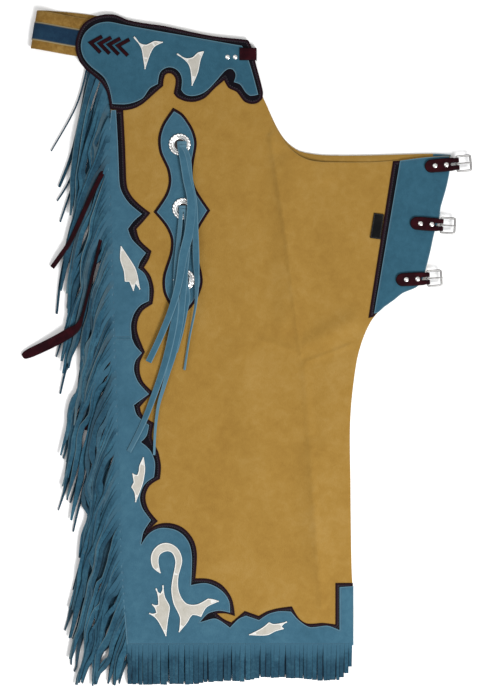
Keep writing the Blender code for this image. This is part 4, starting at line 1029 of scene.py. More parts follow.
def add_ribbon(parts, places, widths, thick, tilts, root=None, flesh=0.0, lit=1.0, deep=0.0):
    """Sweep the section along 3-D places, leaning it by a tilt at each one.

    root is 1 where a strand is still part of the leather, flesh is how grey it is, lit how pale its
    cut edge is and deep how shaded its face is. The side that lies low is marked as shaded.
    """
    section = RIBBON_SECTION
    count, corners = len(places), len(section)
    root = root or [0.0] * count
    points, edge, shade, roots = [], [], [], []
    for i, here in enumerate(places):
        way = (places[min(i + 1, count - 1)] - places[max(i - 1, 0)]).normalized()
        side = Vector((-way.y, way.x, 0.0)).normalized()
        up = way.cross(side)
        if up.z < 0:
            up = -up
        lean = side * math.cos(tilts[i]) + up * math.sin(tilts[i])
        rise = up * math.cos(tilts[i]) - side * math.sin(tilts[i])
        for across, above, share in section:
            crown = min(1.0, above) if root[i] > 0.5 else above
            points.append(here + lean * across * widths[i] / 2 + rise * crown * thick / 2)
            edge.append(share * widths[i] / 2)
            low = max(0.0, across * (1 if tilts[i] < 0 else -1) - 0.66) / 0.34
            shade.append(min(1.0, low + deep + (above < -0.9)))
            roots.append(root[i])
    faces = [tuple(range(corners)), tuple(reversed(range((count - 1) * corners, count * corners)))]
    for i in range(count - 1):
        for k in range(corners):
            after = (k + 1) % corners
            base, ahead = i * corners, (i + 1) * corners
            faces.append((base + after, base + k, ahead + k, ahead + after))
    total = len(points)
    parts.add(points, faces, edge, shade=shade, root=roots, flesh=[flesh] * total, lit=[lit] * total)


def smooth_route(rows, parts):
    """A smooth curve through rows of numbers."""
    rows = [np.array(row, float) for row in rows]
    result = []
    for i in range(len(rows) - 1):
        before, after = rows[max(i - 1, 0)], rows[min(i + 2, len(rows) - 1)]
        start, end = rows[i], rows[i + 1]
        for part in range(parts):
            t = part / parts
            result.append(
                0.5 * (2 * start + (end - before) * t
                       + (2 * before - 5 * start + 4 * end - after) * t**2
                       + (3 * start - before - 3 * end + after) * t**3)
            )
    return [*result, rows[-1]]


# %% [markdown]
# ## Side fringe
# The fringe is cut from the border's own leather, square to its edge. Combed down, each strand
# turns within a finger's width and then lies on the one below it like a shingle. A few partings
# open the fringe, and single strands stray out of it. Each strand is a ribbon with its own seed.

# %% Where the strands grow
# The fringed edge, from the yoke down to the hem. Columns: x, y.
FRINGE_EDGE = [
    (89, 65.5), (95, 70), (101, 77), (105, 88), (107, 105), (108, 150), (109, 200), (111, 260),
    (113, 330), (116, 420), (119, 500), (122, 580), (128, 644),
]
HEM_CUT_ROW = 685
YOKE_END_ROW = 112
# How far the strands lean out, as a share of the usual lean. Columns: root row, share.
LEAN_BY_ROW = [(60, 0.56), (85, 0.64), (130, 0.85), (200, 1.0), (570, 1.0), (615, 0.8), (645, 0.22)]
# Openings between strands. Columns: x, y of both ends, half width in squares, 1 if both layers part.
PARTINGS = [
    (88, 222, 76, 300, 3.6, 1), (78, 350, 68, 398, 3.4, 1), (80, 396, 76, 420, 2.0, 1),
    (90, 406, 80, 447, 2.8, 1), (106, 416, 90, 472, 3.0, 1), (94, 486, 80, 528, 3.4, 1),
    (97, 554, 90, 578, 2.8, 1), (93, 660, 88, 690, 3.2, 1), (107, 648, 101, 690, 3.2, 1),
    (127, 652, 122, 690, 2.2, 1), (84, 634, 74, 668, 2.6, 1),
    (101, 139, 80, 187, 2.2, 0), (103, 172, 86, 215, 2.4, 0), (101, 246, 92, 284, 2.4, 0),
    (92, 322, 84, 372, 2.4, 0), (110, 362, 100, 400, 2.2, 0), (112, 452, 98, 500, 2.2, 0),
    (110, 540, 98, 590, 2.2, 0), (116, 590, 104, 640, 2.0, 0), (100, 600, 90, 650, 2.0, 0),
]
# Single strands that stray. Columns: x, y of root, bend and tip, width in metres.
STRAYS = [
    (88, 64, 76, 106, 51, 151, 0.0030), (90, 70, 74, 146, 59, 187, 0.0070),
    (92, 110, 72, 174, 57, 201, 0.0038), (92, 130, 71, 190, 60, 222, 0.0042),
    (94, 180, 65, 258, 56.5, 314, 0.0060), (90, 250, 66, 326, 56, 357, 0.0040),
    (92, 290, 69, 358, 60, 394, 0.0048), (92, 400, 74, 460, 66, 484, 0.0042),
    (94, 420, 77, 480, 70, 503, 0.0044), (96, 440, 79, 506, 73, 532, 0.0044),
    (98, 495, 80, 564, 73, 590, 0.0046), (98, 560, 81, 626, 72, 654, 0.0050),
]


STRAND_CLEAR = 0.5      # squares that a strand moves further than the opening's half width


def parted(point, lower):
    """Push a place aside from the partings near it."""
    for x0, y0, x1, y1, half, both in PARTINGS:
        if lower and not both:
            continue
        start, way = board(x0, y0), board(x1, y1) - board(x0, y0)
        share = (point - start).dot(way) / way.length_squared
        fade = math.exp(-((max(0.0, abs(share - 0.5) - 0.3) / 0.22) ** 2))
        side = Vector((-way.y, way.x)).normalized()
        off = (point - start).dot(side) / SQUARE
        push = math.tanh(off / 0.6) * (half + STRAND_CLEAR) * math.exp(-((off / 9.0) ** 2)) * fade
        point = point + side * push * SQUARE
    return point


def row_of(point):
    return (corner_y - point.y) / SQUARE


def strand_places(root, length, lean, wave):
    """Flat places along a strand that leaves the edge slanting and bends down."""
    steps = max(5, round(length / 0.009))
    place, places = root.copy(), [root.copy()]
    reach = np.interp(row_of(root), *zip(*LEAN_BY_ROW))
    for number in range(1, steps + 1):
        travelled = length * number / steps
        degrees = np.interp(travelled, (0, 0.02, 0.06, 0.12, 0.25), (38, 31, 20, 13, 10)) * reach
        angle = math.radians(degrees) + lean * reach * min(1.0, travelled / 0.08)
        angle += 0.05 * math.sin(wave + travelled * (22 + 3 * wave)) * min(1.0, travelled / 0.04)
        place = place + Vector((-math.sin(angle), -math.cos(angle))) * length / steps
        places.append(place.copy())
    return places


# %% Grow the side fringe
STRAND_THICK = 0.0012
ROOT_INSET = 3.6        # squares from the fringed edge back to where a strand's root is buried


def add_side_strand(parts, root, length, lean, width, rng, lower):
    """One strand, cut off at the hem's line."""
    floor = board(0, HEM_CUT_ROW).y - 0.0015 * rng.random()
    places = [p for p in strand_places(root, length, lean, 6.3 * rng.random()) if p.y > floor]
    if len(places) < 3:
        return
    count = len(places)
    centres, widths, tilts, roots = [], [], [], []
    free = 0.0016 if lower else 0.0036 + 0.0020 * rng.random()
    under_yoke = row_of(root) < YOKE_END_ROW
    buried = 0.0046 if under_yoke else BLUE_HIGH - STRAND_THICK / 2 - 0.0004
    rise = 0.0 if under_yoke else 0.0005 + 0.0002 * rng.random()
    start = 0.0014 if lower else buried
    joined = 0.016 + 0.060 * rng.random() ** 2
    flesh = max(0.0, rng.random() - 0.82) * 2.4
    lit = rng.random() ** 3
    # deep is painted shade over a strand's whole face: fixed on the lower layer, random on the top one.
    deep = 0.45 if lower else max(0.0, rng.random() - 0.35) * 0.75
    steep = -math.radians(8 if lower else rng.uniform(6, 34))
    for i, place in enumerate(places):
        travelled = length * i / (count - 1)
        spot = parted(place, lower) if i > 1 else place
        level = free
        if not lower:
            level += 0.0015 * min(1.0, max(0.0, (row_of(spot) - YOKE_END_ROW) / 30))
        share = min(1.0, max(0.0, travelled - 0.012) / 0.030)
        level = start + (level - start) * (3 * share**2 - 2 * share**3)
        level += 0.0 if lower else rise * math.sin(math.pi / 2 * min(1.0, travelled / 0.012))
        centres.append(Vector((*spot, level)))
        tip = 1 - 0.68 * max(0.0, i / (count - 1) - 0.78) / 0.22
        widths.append(width * tip)
        tilts.append(steep * min(1.0, max(0.0, travelled - 0.6 * joined) / 0.03))
        roots.append(0.0 if lower else max(0.0, 1 - travelled / joined) ** 0.5)
    add_ribbon(parts, centres, widths, STRAND_THICK, tilts, roots, flesh, lit, deep)


def along(line, distance):
    """The place at a distance along a line."""
    for start, end in zip(line, line[1:]):
        run = (end - start).length
        if distance <= run:
            return start + (end - start) * distance / run
        distance -= run
    return line[-1].copy()


fringe_line = [board(x, y) for x, y in (row[:2] for row in smooth_route(FRINGE_EDGE, 6))]
fringe_length = sum((b - a).length for a, b in zip(fringe_line, fringe_line[1:]))
CLUMP = 4.6             # strands that lean together
leaning = random.Random(11)
CLUMP_LEANS = [leaning.uniform(-0.13, 0.12) for _ in range(60)]


def grow_side_fringe(strands, seed, width, lower):
    """Strands along the fringed edge, leaning in clumps that both layers share."""
    parts = MeshParts()
    for number in range(strands):
        rng = random.Random(seed + 17 * number)
        share = (number + 0.5) / strands
        root = along(fringe_line, fringe_length * share) + Vector((ROOT_INSET * SQUARE, 0))
        knot, part = divmod(share * 84 / CLUMP, 1)
        part = min(1.0, max(0.0, (part - 0.35) / 0.3))
        lean = CLUMP_LEANS[int(knot)] * (1 - part) + CLUMP_LEANS[int(knot) + 1] * part
        lean += rng.uniform(-0.045, 0.045)
        length = 0.252 * (1 - 0.14 * rng.random())
        add_side_strand(parts, root, length, lean, width * rng.uniform(0.7, 1.2), rng, lower)
    return parts


side_parts = grow_side_fringe(84, 5, 0.0090, False)
for x0, y0, x1, y1, x2, y2, width in STRAYS:
    flat = [board(x, y) for x, y in smooth_route([(x0, y0), (x1, y1), (x2, y2)], 8)]
    total = len(flat) - 1
    centres = [Vector((*p, 0.0038 - 0.0020 * i / total)) for i, p in enumerate(flat)]
    # The strays get painted shade over their whole face.
    add_ribbon(
        side_parts, centres, [width * (1 - 0.45 * i / total) for i in range(total + 1)],
        STRAND_THICK, [-math.radians(10 + 16 * i / total) for i in range(total + 1)], lit=0.2,
        deep=0.55,
    )
side_fringe = into_scene(
    "side_fringe", side_parts.points, side_parts.faces, SHADED_FRINGE_BLUE, "blue_fringe",
    edge=np.array(side_parts.edge) * 1000, **side_parts.marks,
)
on_overlay["border_upper"].append(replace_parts(side_fringe, "fringe_side"))
lower_parts = grow_side_fringe(50, 41, 0.0070, True)
side_fringe_lower = into_scene(
    "side_fringe_lower", lower_parts.points, lower_parts.faces, SHADED_FRINGE_BLUE, "blue_fringe",
    edge=np.array(lower_parts.edge) * 1000, **lower_parts.marks,
)
on_left_leg = [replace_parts(side_fringe_lower, "fringe_side_under")]
print("side fringe triangles about", 2 * len(side_parts.faces), 2 * len(lower_parts.faces))

# %% [markdown]
# ## Hem fringe
# The hem's strands are short and hang straight. They are as wide as their pitch, so the hem looks
# closed with fine dark cuts, and it opens only where two strands were pushed apart.

# %% Grow the hem fringe
# The line of the cut ends along the hem. Columns: x, y.
HEM_ENDS = [
    (126, 685), (150, 685), (190, 685), (215, 682), (245, 682), (262, 678.5), (300, 678.5),
    (316, 681), (338, 681), (347, 674), (354, 660),
]
# Slits where two strands were pushed apart. Columns: x, half width in squares.
HEM_SLITS = [
    (168.6, 1.2), (182.4, 1.7), (128.0, 0.8), (144.0, 0.6), (205.0, 0.6), (231.0, 0.7),
    (258.0, 0.5), (287.0, 0.6), (320.3, 0.8),
]
HEM_ROOT_ROW = 641
HEM_FIRST, HEM_LAST = 127.0, 352.2


def add_hem_strand(parts, x, width, rng, lower):
    """One straight strand from inside the hem's leather to its cut end."""
    push = sum(
        math.tanh((x - slit) / 0.8) * room * math.exp(-(((x - slit) / 6) ** 2))
        for slit, room in HEM_SLITS
    )
    end_row = np.interp(x, *zip(*HEM_ENDS)) - rng.random() * 1.2 - (3 if lower else 0)
    start = board(x, 645 if lower else HEM_ROOT_ROW)
    end = board(x + push + rng.uniform(-0.7, 0.3), end_row)
    top, bottom = (0.0017, 0.0016) if lower else (BLUE_HIGH - STRAND_THICK / 2 - 0.0004, 0.0030)
    fall = rng.uniform(0.16, 0.34)
    centres, widths, tilts, roots = [], [], [], []
    lean = math.radians(rng.uniform(-16, 16))
    for i in range(11):
        share = i / 10
        spot = start + (end - start) * share
        down = 0.0 if lower else max(0.0, share - fall) / (1 - fall)
        level = top + (bottom - top) * (1 - (1 - down) ** 2)
        level += 0.0 if lower else 0.0006 * math.sin(math.pi / 2 * min(1.0, share / 0.14))
        centres.append(Vector((*spot, level)))
        widths.append(width * (1 - 0.05 * share))
        tilts.append(lean * max(0.0, share - fall))
        roots.append(0.0 if lower else max(0.0, 1 - share / (fall + 0.2)) ** 0.5)
    # The last value is painted shade over the strand's face.
    add_ribbon(parts, centres, widths, STRAND_THICK, tilts, roots, 0.0, 0.4 * rng.random() ** 2,
               0.15 + 0.3 * rng.random())


def grow_hem_fringe(strands, seed, lower):
    parts = MeshParts()
    wide = random.Random(seed)
    shares = np.cumsum([wide.uniform(0.65, 1.35) for _ in range(strands)])
    shares = (HEM_LAST - HEM_FIRST) * shares / shares[-1]
    before = 0.0
    for number, after in enumerate(shares):
        width = (after - before) * SQUARE * 1.02
        add_hem_strand(parts, HEM_FIRST + (before + after) / 2, width, random.Random(seed + number),
                       lower)
        before = after
    return parts


for node, strands, seed, lower in (("fringe_hem", 50, 300, False), ("fringe_hem_under", 40, 900, True)):
    parts = grow_hem_fringe(strands, seed, lower)
    piece = into_scene(
        "hem_fringe_lower" if lower else "hem_fringe", parts.points, parts.faces, SHADED_FRINGE_BLUE,
        "blue_fringe", edge=np.array(parts.edge) * 1000, **parts.marks,
    )
    (on_left_leg if lower else on_overlay["border_lower"]).append(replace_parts(piece, node))

# %% [markdown]
# ## Leg straps
# Three narrow straps of burgundy leather leave the side seam and lie among the fringe. They are
# ribbons too, and thicker than the strands. Two of them show on top of the fringe.

# %% Leg straps
# Columns: x, y, height of the middle, width, in squares and metres.
STRAP_ROUTES = {
    "leg_strap_1": [
        (108.3, 164, 0.0034, 0.008), (105, 169, 0.0050, 0.008), (100.5, 177, 0.0088, 0.0075),
        (88, 203, 0.0096, 0.0072), (71, 240, 0.0092, 0.0072), (59, 258, 0.0070, 0.0072),
        (52, 267.5, 0.0040, 0.007),
    ],
    "leg_strap_2": [
        (107.5, 212, 0.0030, 0.008), (104, 224, 0.0040, 0.007), (101, 238, 0.0072, 0.0055),
        (97, 256, 0.0096, 0.0048), (89, 290, 0.0102, 0.0048), (82.5, 316, 0.0112, 0.0052),
        (78.5, 326, 0.0116, 0.0100), (71, 332, 0.0112, 0.0150), (58, 339.5, 0.0092, 0.0154),
        (44, 346.5, 0.0062, 0.0150), (31, 352.5, 0.0040, 0.0142),
        (24.5, 355.5, 0.0030, 0.0110), (22.5, 356.5, 0.0026, 0.0060),
    ],
    "leg_strap_3": [
        (109.8, 288, 0.0030, 0.008), (106, 302, 0.0025, 0.009), (100, 350, 0.0026, 0.010),
        (92, 400, 0.0026, 0.010), (86, 430, 0.0026, 0.009),
    ],
}
for node, route in STRAP_ROUTES.items():
    parts = MeshParts()
    rows = smooth_route(route, 6)
    add_ribbon(
        parts, [Vector((*board(x, y), z)) for x, y, z, _ in rows], [row[3] for row in rows], 0.0015,
        [0.0] * len(rows),
    )
    strap = into_scene(f"{node}_leather", parts.points, parts.faces, STRAP, "burgundy_leather",
                       edge=np.array(parts.edge) * 1000)
    on_left_leg.append(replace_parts(strap, node))

# %% [markdown]
# ## Belt
# The belt is a folded band of tan leather with a dark blue stripe. It runs out from under the yoke,
# turns back at the left and comes home on top. The band is swept along the same side view as in
# the CAD, and the stripe is a second, thinner band on its outside.

# %% Belt
BELT_FOLD = (32.2, 29.2)
STRIPE_DROP = 0.0021
BELT_SLOPE = math.radians(9.4)
BELT_THICK = 0.0017
# Side view of the belt. Columns: distance from the fold, height, shift across.
BELT_PATH = [
    (0.1440, 0.00175, 0.0085), (0.0700, 0.00175, 0.0065), (0.0260, 0.00180, 0.0035),
    (0.0090, 0.00300, 0.0015), (0.0035, 0.00640, 0.0), (0.0060, 0.01020, 0.0),
    (0.0150, 0.01200, 0.0), (0.0300, 0.00980, 0.0), (0.0450, 0.00640, 0.0),
    (0.0600, 0.00440, 0.0), (0.0800, 0.00425, 0.0), (0.1440, 0.00425, 0.0),
]
# Section of a band. Columns: across, from -1 to 1, and out, from -1 to 1.
BAND_SECTION = [
    (-1.0, -0.4), (-1.0, 0.4), (-0.985, 1.0), (-0.6, 1.0), (-0.2, 1.0), (0.2, 1.0), (0.6, 1.0),
    (0.985, 1.0), (1.0, 0.4), (1.0, -0.4), (0.985, -1.0), (0.4, -1.0), (-0.4, -1.0), (-0.985, -1.0),
]


def make_band(name, node, width, thick, outside, drop, material, slot):
    """Sweep a band along the belt's side view, moved outside it and down across it."""
    fold = Vector((*board(*BELT_FOLD), 0.0))
    run = Vector((math.cos(BELT_SLOPE), -math.sin(BELT_SLOPE), 0.0))
    across = Vector((math.sin(BELT_SLOPE), math.cos(BELT_SLOPE), 0.0))
    rows = smooth_route(BELT_PATH, 5)
    points, faces, edge, corners = [], [], [], len(BAND_SECTION)
    for i, (distance, height, shift) in enumerate(rows):
        step = rows[min(i + 1, len(rows) - 1)] - rows[max(i - 1, 0)]
        out = Vector((-step[1], step[0])).normalized()
        for side, above in BAND_SECTION:
            spot = Vector((distance, height)) + out * (outside + above * thick / 2)
            place = across * (shift - drop + side * width / 2)
            points.append(fold + run * spot.x + place + Vector((0, 0, spot.y)))
            edge.append((1 - abs(side)) * width / 2 * 1000)
    faces = [tuple(range(corners)), tuple(reversed(range(len(points) - corners, len(points))))]
    for i in range(len(rows) - 1):
        for k in range(corners):
            after = (k + 1) % corners
            base, ahead = i * corners, (i + 1) * corners
            faces.append((base + after, base + k, ahead + k, ahead + after))
    band = into_scene(name, points, faces, material, slot, edge=edge)
    length = sum(
        math.dist(a[:2], b[:2]) for a, b in zip(rows, rows[1:])
    )
    band["cut"] = (width, length)
    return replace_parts(band, node)


belt = make_band("belt_band", "belt", 0.058, BELT_THICK, 0.0, 0.0, BELT_TAN, "tan_suede")
stripe = make_band(
    "belt_stripe_band", "belt_stripe", 0.028, 0.0005, BELT_THICK / 2 + 0.0003 + 0.00025,
    STRIPE_DROP, STRIPE_BLUE, "blue_stripe",
)
print("belt cut in mm:", [round(v * 1000) for v in belt["cut"]])

# %% [markdown]
# ## Conchos, thongs and rivets
# A concho is a pressed nickel disc with a scalloped rim and two slots. A blue thong is threaded
# through the slots and both ends hang down. The disc is a polar grid whose height follows the
# pressed shape, which gives the scallops real edges.

# %% Conchos
CONCHO_RADIUS = 0.0170
SCALLOPS = 18


def concho_height(share, angle):
    """Height of the pressed disc over its radius share and angle, in metres."""
    bead = 0.5 + 0.5 * math.cos(SCALLOPS * angle)
    ring = math.exp(-(((share - 0.88) / 0.10) ** 2)) * (0.0007 + 0.0007 * bead)
    collar = math.exp(-(((share - 0.64) / 0.055) ** 2)) * 0.0014
    return 0.0009 + ring + collar - 0.0002 * (share < 0.5)


def make_concho(number):
    """A pressed disc on its place, with painted shade in its hollows and over its middle."""
    centre = board(*CONCHO_CENTRES[number - 1])
    turns, rings = 108, 22
    points, recess = [], []
    for r in range(rings + 1):
        share = 0.04 + 0.96 * r / rings
        for k in range(turns):
            angle = 2 * math.pi * k / turns
            radius = CONCHO_RADIUS * share * (1 - 0.045 * share**6 * (1 - math.cos(SCALLOPS * angle)) / 2)
            rise = concho_height(share, angle) if r < rings else 0.0003
            points.append(
                (centre.x + radius * math.cos(angle), centre.y + radius * math.sin(angle),
                 INLAY_LOW + rise)
            )
            # Painted shade between the beads, in the groove inside the ring and over the whole middle.
            between = (0.5 - 0.5 * math.cos(SCALLOPS * angle)) ** 2 * min(1.0, max(0.0, share - 0.72) / 0.1)
            groove = 0.8 * math.exp(-(((share - 0.74) / 0.03) ** 2))
            recess.append(1.0 if share < 0.5 else min(1.0, 0.7 * between + groove))
    faces = [tuple(range(turns))]
    for r in range(rings):
        for k in range(turns):
            after = (k + 1) % turns
            faces.append((r * turns + k, (r + 1) * turns + k, (r + 1) * turns + after, r * turns + after))
    base = len(points)
    for k in range(turns):
        angle = 2 * math.pi * k / turns
        points.append((centre.x + 0.94 * CONCHO_RADIUS * math.cos(angle),
                       centre.y + 0.94 * CONCHO_RADIUS * math.sin(angle), INLAY_LOW))
        recess.append(0.5)
        faces.append((rings * turns + k, base + k, base + (k + 1) % turns, rings * turns + (k + 1) % turns))
    faces.append(tuple(reversed(range(base, base + turns))))
    disc = into_scene(f"concho_{number}_disc", points, faces, NICKEL, "nickel", recess=recess)
    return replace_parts(disc, f"concho_{number}")


for number in (1, 2, 3):
    make_concho(number)

# %% Thongs of the conchos
# Two ends for each concho. Columns: x, y, height of the middle, width in metres, tilt in degrees.
THONG_ROUTES = {
    "concho_ties_1": [
        [
            (179.0, 141.5, 0.0118, 0.0050, 0), (180.0, 148.3, 0.0134, 0.0070, 0),
            (183.0, 158, 0.0146, 0.0105, -12), (187.0, 180, 0.0142, 0.0120, -14),
            (191.6, 203, 0.0162, 0.0130, -12), (189.2, 232, 0.0166, 0.0140, -16),
            (183.4, 256, 0.0170, 0.0135, -20), (178.6, 285, 0.0168, 0.0110, -18),
            (171.4, 310, 0.0144, 0.0100, 8), (160.4, 337, 0.0126, 0.0095, 0),
            (148.6, 362, 0.0118, 0.0092, 0),
        ],
        [
            (183.0, 141.5, 0.0118, 0.0045, 0), (184.6, 148.3, 0.0130, 0.0060, 0),
            (188.4, 158, 0.0132, 0.0075, 4), (190.8, 180, 0.0126, 0.0070, 6),
            (194.6, 203, 0.0146, 0.0080, 6), (195.6, 232, 0.0150, 0.0090, 6),
            (196.2, 258, 0.0156, 0.0100, 10), (197.0, 283, 0.0160, 0.0070, 22),
            (195.6, 306, 0.0150, 0.0046, 40), (189.4, 338, 0.0106, 0.0036, 40),
            (184.5, 370, 0.0092, 0.0034, 20),
        ],
    ],
    "concho_ties_2": [
        [
            (181.2, 206, 0.0118, 0.0045, 0), (181.0, 212.6, 0.0134, 0.0060, 0),
            (180.2, 226, 0.0136, 0.0066, 8), (178.2, 246, 0.0136, 0.0070, 8),
            (176.6, 268, 0.0140, 0.0080, 0), (176.2, 296, 0.0138, 0.0095, 0),
            (174.2, 322, 0.0128, 0.0105, 6), (168.0, 352, 0.0112, 0.0105, 6),
            (161.6, 374, 0.0108, 0.0098, 8), (154.6, 394, 0.0106, 0.0092, 8),
            (147.0, 414, 0.0106, 0.0088, 10), (140.0, 430, 0.0106, 0.0080, 10),
            (129, 451.5, 0.0106, 0.0068, 8),
        ],
        [
            (185.4, 206, 0.0118, 0.0045, 0), (185.4, 212.6, 0.0134, 0.0055, 0),
            (187.5, 228, 0.0134, 0.0075, 8), (187.6, 246, 0.0134, 0.0085, 8),
            (185.6, 268, 0.0140, 0.0085, 0), (183.0, 296, 0.0134, 0.0095, 0),
            (180.4, 322, 0.0122, 0.0095, -6), (174.0, 352, 0.0104, 0.0090, -8),
            (169.0, 369, 0.0104, 0.0078, -14), (163.4, 388, 0.0104, 0.0060, -20),
            (158.4, 406, 0.0104, 0.0050, -25), (155.4, 429, 0.0104, 0.0042, -25),
            (154.2, 455, 0.0106, 0.0036, -20),
        ],
    ],
    "concho_ties_3": [
        [
            (182.0, 277, 0.0118, 0.0045, 0), (182.0, 283.6, 0.0132, 0.0060, 0),
            (180.5, 296, 0.0120, 0.0085, 0), (178.5, 312, 0.0104, 0.0095, 0),
            (175, 332, 0.0090, 0.0095, 0), (170.0, 350, 0.0086, 0.0085, 0),
        ],
        [
            (186.0, 277, 0.0118, 0.0045, 0), (186.0, 283.6, 0.0132, 0.0060, 0),
            (187.6, 296, 0.0120, 0.0085, 0), (184.6, 312, 0.0102, 0.0090, 0),
            (180.6, 332, 0.0088, 0.0085, 0), (175.0, 352, 0.0086, 0.0085, 0),
        ],
    ],
}
for node, routes in THONG_ROUTES.items():
    parts = MeshParts()
    for route in routes:
        rows = smooth_route(route, 6)
        add_ribbon(
            parts, [Vector((*board(row[0], row[1]), row[2])) for row in rows],
            [row[3] for row in rows], 0.0013, [math.radians(row[4]) for row in rows],
        )
    (x0, y0, *_), (x1, _, *_) = routes[0][1], routes[1][1]
    for step in (-5.4, -2.2):
        bar = [board(x0 - 2.2 + (x1 - x0 + 4.4) * s / 6, y0 + step) for s in range(7)]
        arch = [0.0, 0.6, 0.9, 1.0, 0.9, 0.6, 0.0]
        add_ribbon(
            parts, [Vector((*p, 0.0116 + 0.0022 * rise)) for p, rise in zip(bar, arch)], [0.0042] * 7,
            0.0013, [0.0] * 7,
        )
    ties = into_scene(f"{node}_thong", parts.points, parts.faces, BLUE, "blue_suede",
                      edge=np.array(parts.edge) * 1000)
    on_overlay["concho_plate"].append(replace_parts(ties, node))


# %% Rivets
def make_rivet(name, node, body="root"):
    """A domed tubular rivet with a flange and a small dimple."""
    low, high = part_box(node)
    centre, radius, rise = (low + high) / 2, (high.x - low.x) / 2, high.z - low.z
    # Columns: radius share, height share, and painted shade, which is darkest at the flange's foot and
    # where the dome meets the flange.
    profile = [
        (0.98, 0.0, 0.6), (1.0, 0.12, 0.4), (0.97, 0.26, 0.0), (0.86, 0.34, 0.2), (0.80, 0.36, 0.7),
        (0.74, 0.52, 0.3), (0.62, 0.80, 0.0), (0.42, 0.97, 0.0), (0.22, 1.0, 0.0), (0.08, 0.97, 0.1),
    ]
    turns = 32
    points, recess, faces = [], [], []
    for share, height, hollow in profile:
        for k in range(turns):
            angle = 2 * math.pi * k / turns
            points.append((centre.x + radius * share * math.cos(angle),
                           centre.y + radius * share * math.sin(angle), low.z + rise * height))
            recess.append(hollow)
    for ring in range(len(profile) - 1):
        for k in range(turns):
            after = (k + 1) % turns
            faces.append((ring * turns + k, ring * turns + after, (ring + 1) * turns + after,
                          (ring + 1) * turns + k))
    faces += [tuple(reversed(range(turns))), tuple(range(len(points) - turns, len(points)))]
    rivet = into_scene(name, points, faces, NICKEL, "nickel", body, recess=recess)
    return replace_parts(rivet, node)


rivet_nodes = [node for node in frame["nodes"] if "_rivet_" in node]
for node in rivet_nodes:
    make_rivet(f"{node}_cap", node)
print("rivets:", len(rivet_nodes))

# %% [markdown]
# ## Buckle tabs, frames and tongues
# Each tab is a strap of burgundy leather folded round the heel bar of its buckle and riveted
# through both plies. The frame turns on the loop of the tab, and the tongue turns on the heel bar.
# The tab stays with the leg, while frame and tongue ride on their own bodies.

# %% Places of the tabs
# Columns: left end x, left end y, tilt in degrees, length to the heel bar in metres.
TABS = [(424.6, 166.9, 5.0, 0.0485), (410.0, 223.0, -4.0, 0.0465), (395.8, 280.2, 3.0, 0.0475)]
TAB_PLY, TAB_WIDTH, LOOP_BORE = 0.0016, 0.0195, 0.0018
HINGE_LEVEL = {number: frame["record"]["behaviour"]["joints"][2 * number - 2]["pos_m"][2]
               for number in (1, 2, 3)}


def tab_place(number, point):
    """A point drawn round the heel bar, x along the tab and z up, put at its tab."""
    x, y, tilt, length = TABS[number - 1]
    turn = math.radians(tilt)
    start = board(x, y) + Vector((math.cos(turn), math.sin(turn))) * length
    return Vector((
        start.x + point[0] * math.cos(turn) - point[1] * math.sin(turn),
        start.y + point[0] * math.sin(turn) + point[1] * math.cos(turn),
        HINGE_LEVEL[number] + point[2],
    ))


# %% Tabs
def tab_outline(length):
    """The tab from above: a round end, straight sides and the slot for the tongue."""
    half, neck, slot = TAB_WIDTH / 2, 0.0090, 0.0021
    centre = Vector((-length + half, 0.0))
    arc = [
        centre + Vector((math.cos(a), math.sin(a))) * half
        for a in np.linspace(math.pi / 2, 1.5 * math.pi, 17)
    ]
    return [
        *arc, Vector((-0.0085, -half)), Vector((-0.0060, -half + 0.0002)), Vector((-0.0036, -neck)),
        Vector((0.0, -neck)), Vector((0.0, -slot)), Vector((-0.0085, -slot)), Vector((-0.0097, 0.0)),
        Vector((-0.0085, slot)), Vector((0.0, slot)), Vector((0.0, neck)), Vector((-0.0036, neck)),
        Vector((-0.0060, half - 0.0002)), Vector((-0.0085, half)),
    ]


def add_loop_half(parts, low, high):
    """The part of the strap that turns round the heel bar, on one side of the slot."""
    inner, outer = LOOP_BORE, LOOP_BORE + TAB_PLY
    meet = math.pi / 2
    angles = np.linspace(-meet, meet, 15)
    points, faces = [], []
    for angle in angles:
        for radius, y in ((inner, low), (outer, low), (outer, high), (inner, high)):
            points.append(Vector((radius * math.cos(angle), y, radius * math.sin(angle))))
    for i in range(len(angles) - 1):
        for k in range(4):
            after = (k + 1) % 4
            faces.append((4 * i + k, 4 * i + after, 4 * i + 4 + after, 4 * i + 4 + k))
    faces += [(3, 2, 1, 0), tuple(range(len(points) - 4, len(points)))]
    return points, faces


def add_ply(parts, number, upper, length):
    """One ply: flat at the tab's end, spreading round the bar near the loop."""
    loop = refined(tab_outline(length), 0.0018)
    bevel = 0.0003
    inner_loop = moved_in(loop, bevel)
    face, triangles = cover(inner_loop, grid_inside(inner_loop, 0.0016, 0.0009))
    edge = edge_distance(face, loop) * 1000
    side = 1 if upper else -1

    def spread(x):
        """Height of the ply's inner face at a distance before the bar."""
        share = min(1.0, max(0.0, 1 + x / 0.0075))
        return LOOP_BORE * (3 * share**2 - 2 * share**3)

    points, rims = [], []
    for spot, far in zip(face, edge):
        points.append((spot[0], spot[1], side * (spread(spot[0]) + TAB_PLY - 0.0001 * (far < 0.5))))
        rims.append(far)
    above = list(range(len(loop)))
    for inset, share in ((0.0, 0.82), (0.0, 0.1), (0.0001, 0.0)):
        ring = moved_in(loop, inset) if inset else loop
        first = len(points)
        points += [(p.x, p.y, side * (spread(p.x) + TAB_PLY * share)) for p in ring]
        rims += [0.0] * len(loop)
        below = list(range(first, first + len(loop)))
        for i in range(len(loop)):
            after = (i + 1) % len(loop)
            triangles.append((below[i], below[after], above[after], above[i]))
        above = below
    back, back_faces = cover([Vector(points[i][:2]) for i in above], [])
    triangles += [tuple(above[i] for i in reversed(tri)) for tri in back_faces]
    if not upper:
        triangles = [tuple(reversed(tri)) for tri in triangles]
    parts.add([tab_place(number, p) for p in points], triangles, rims)


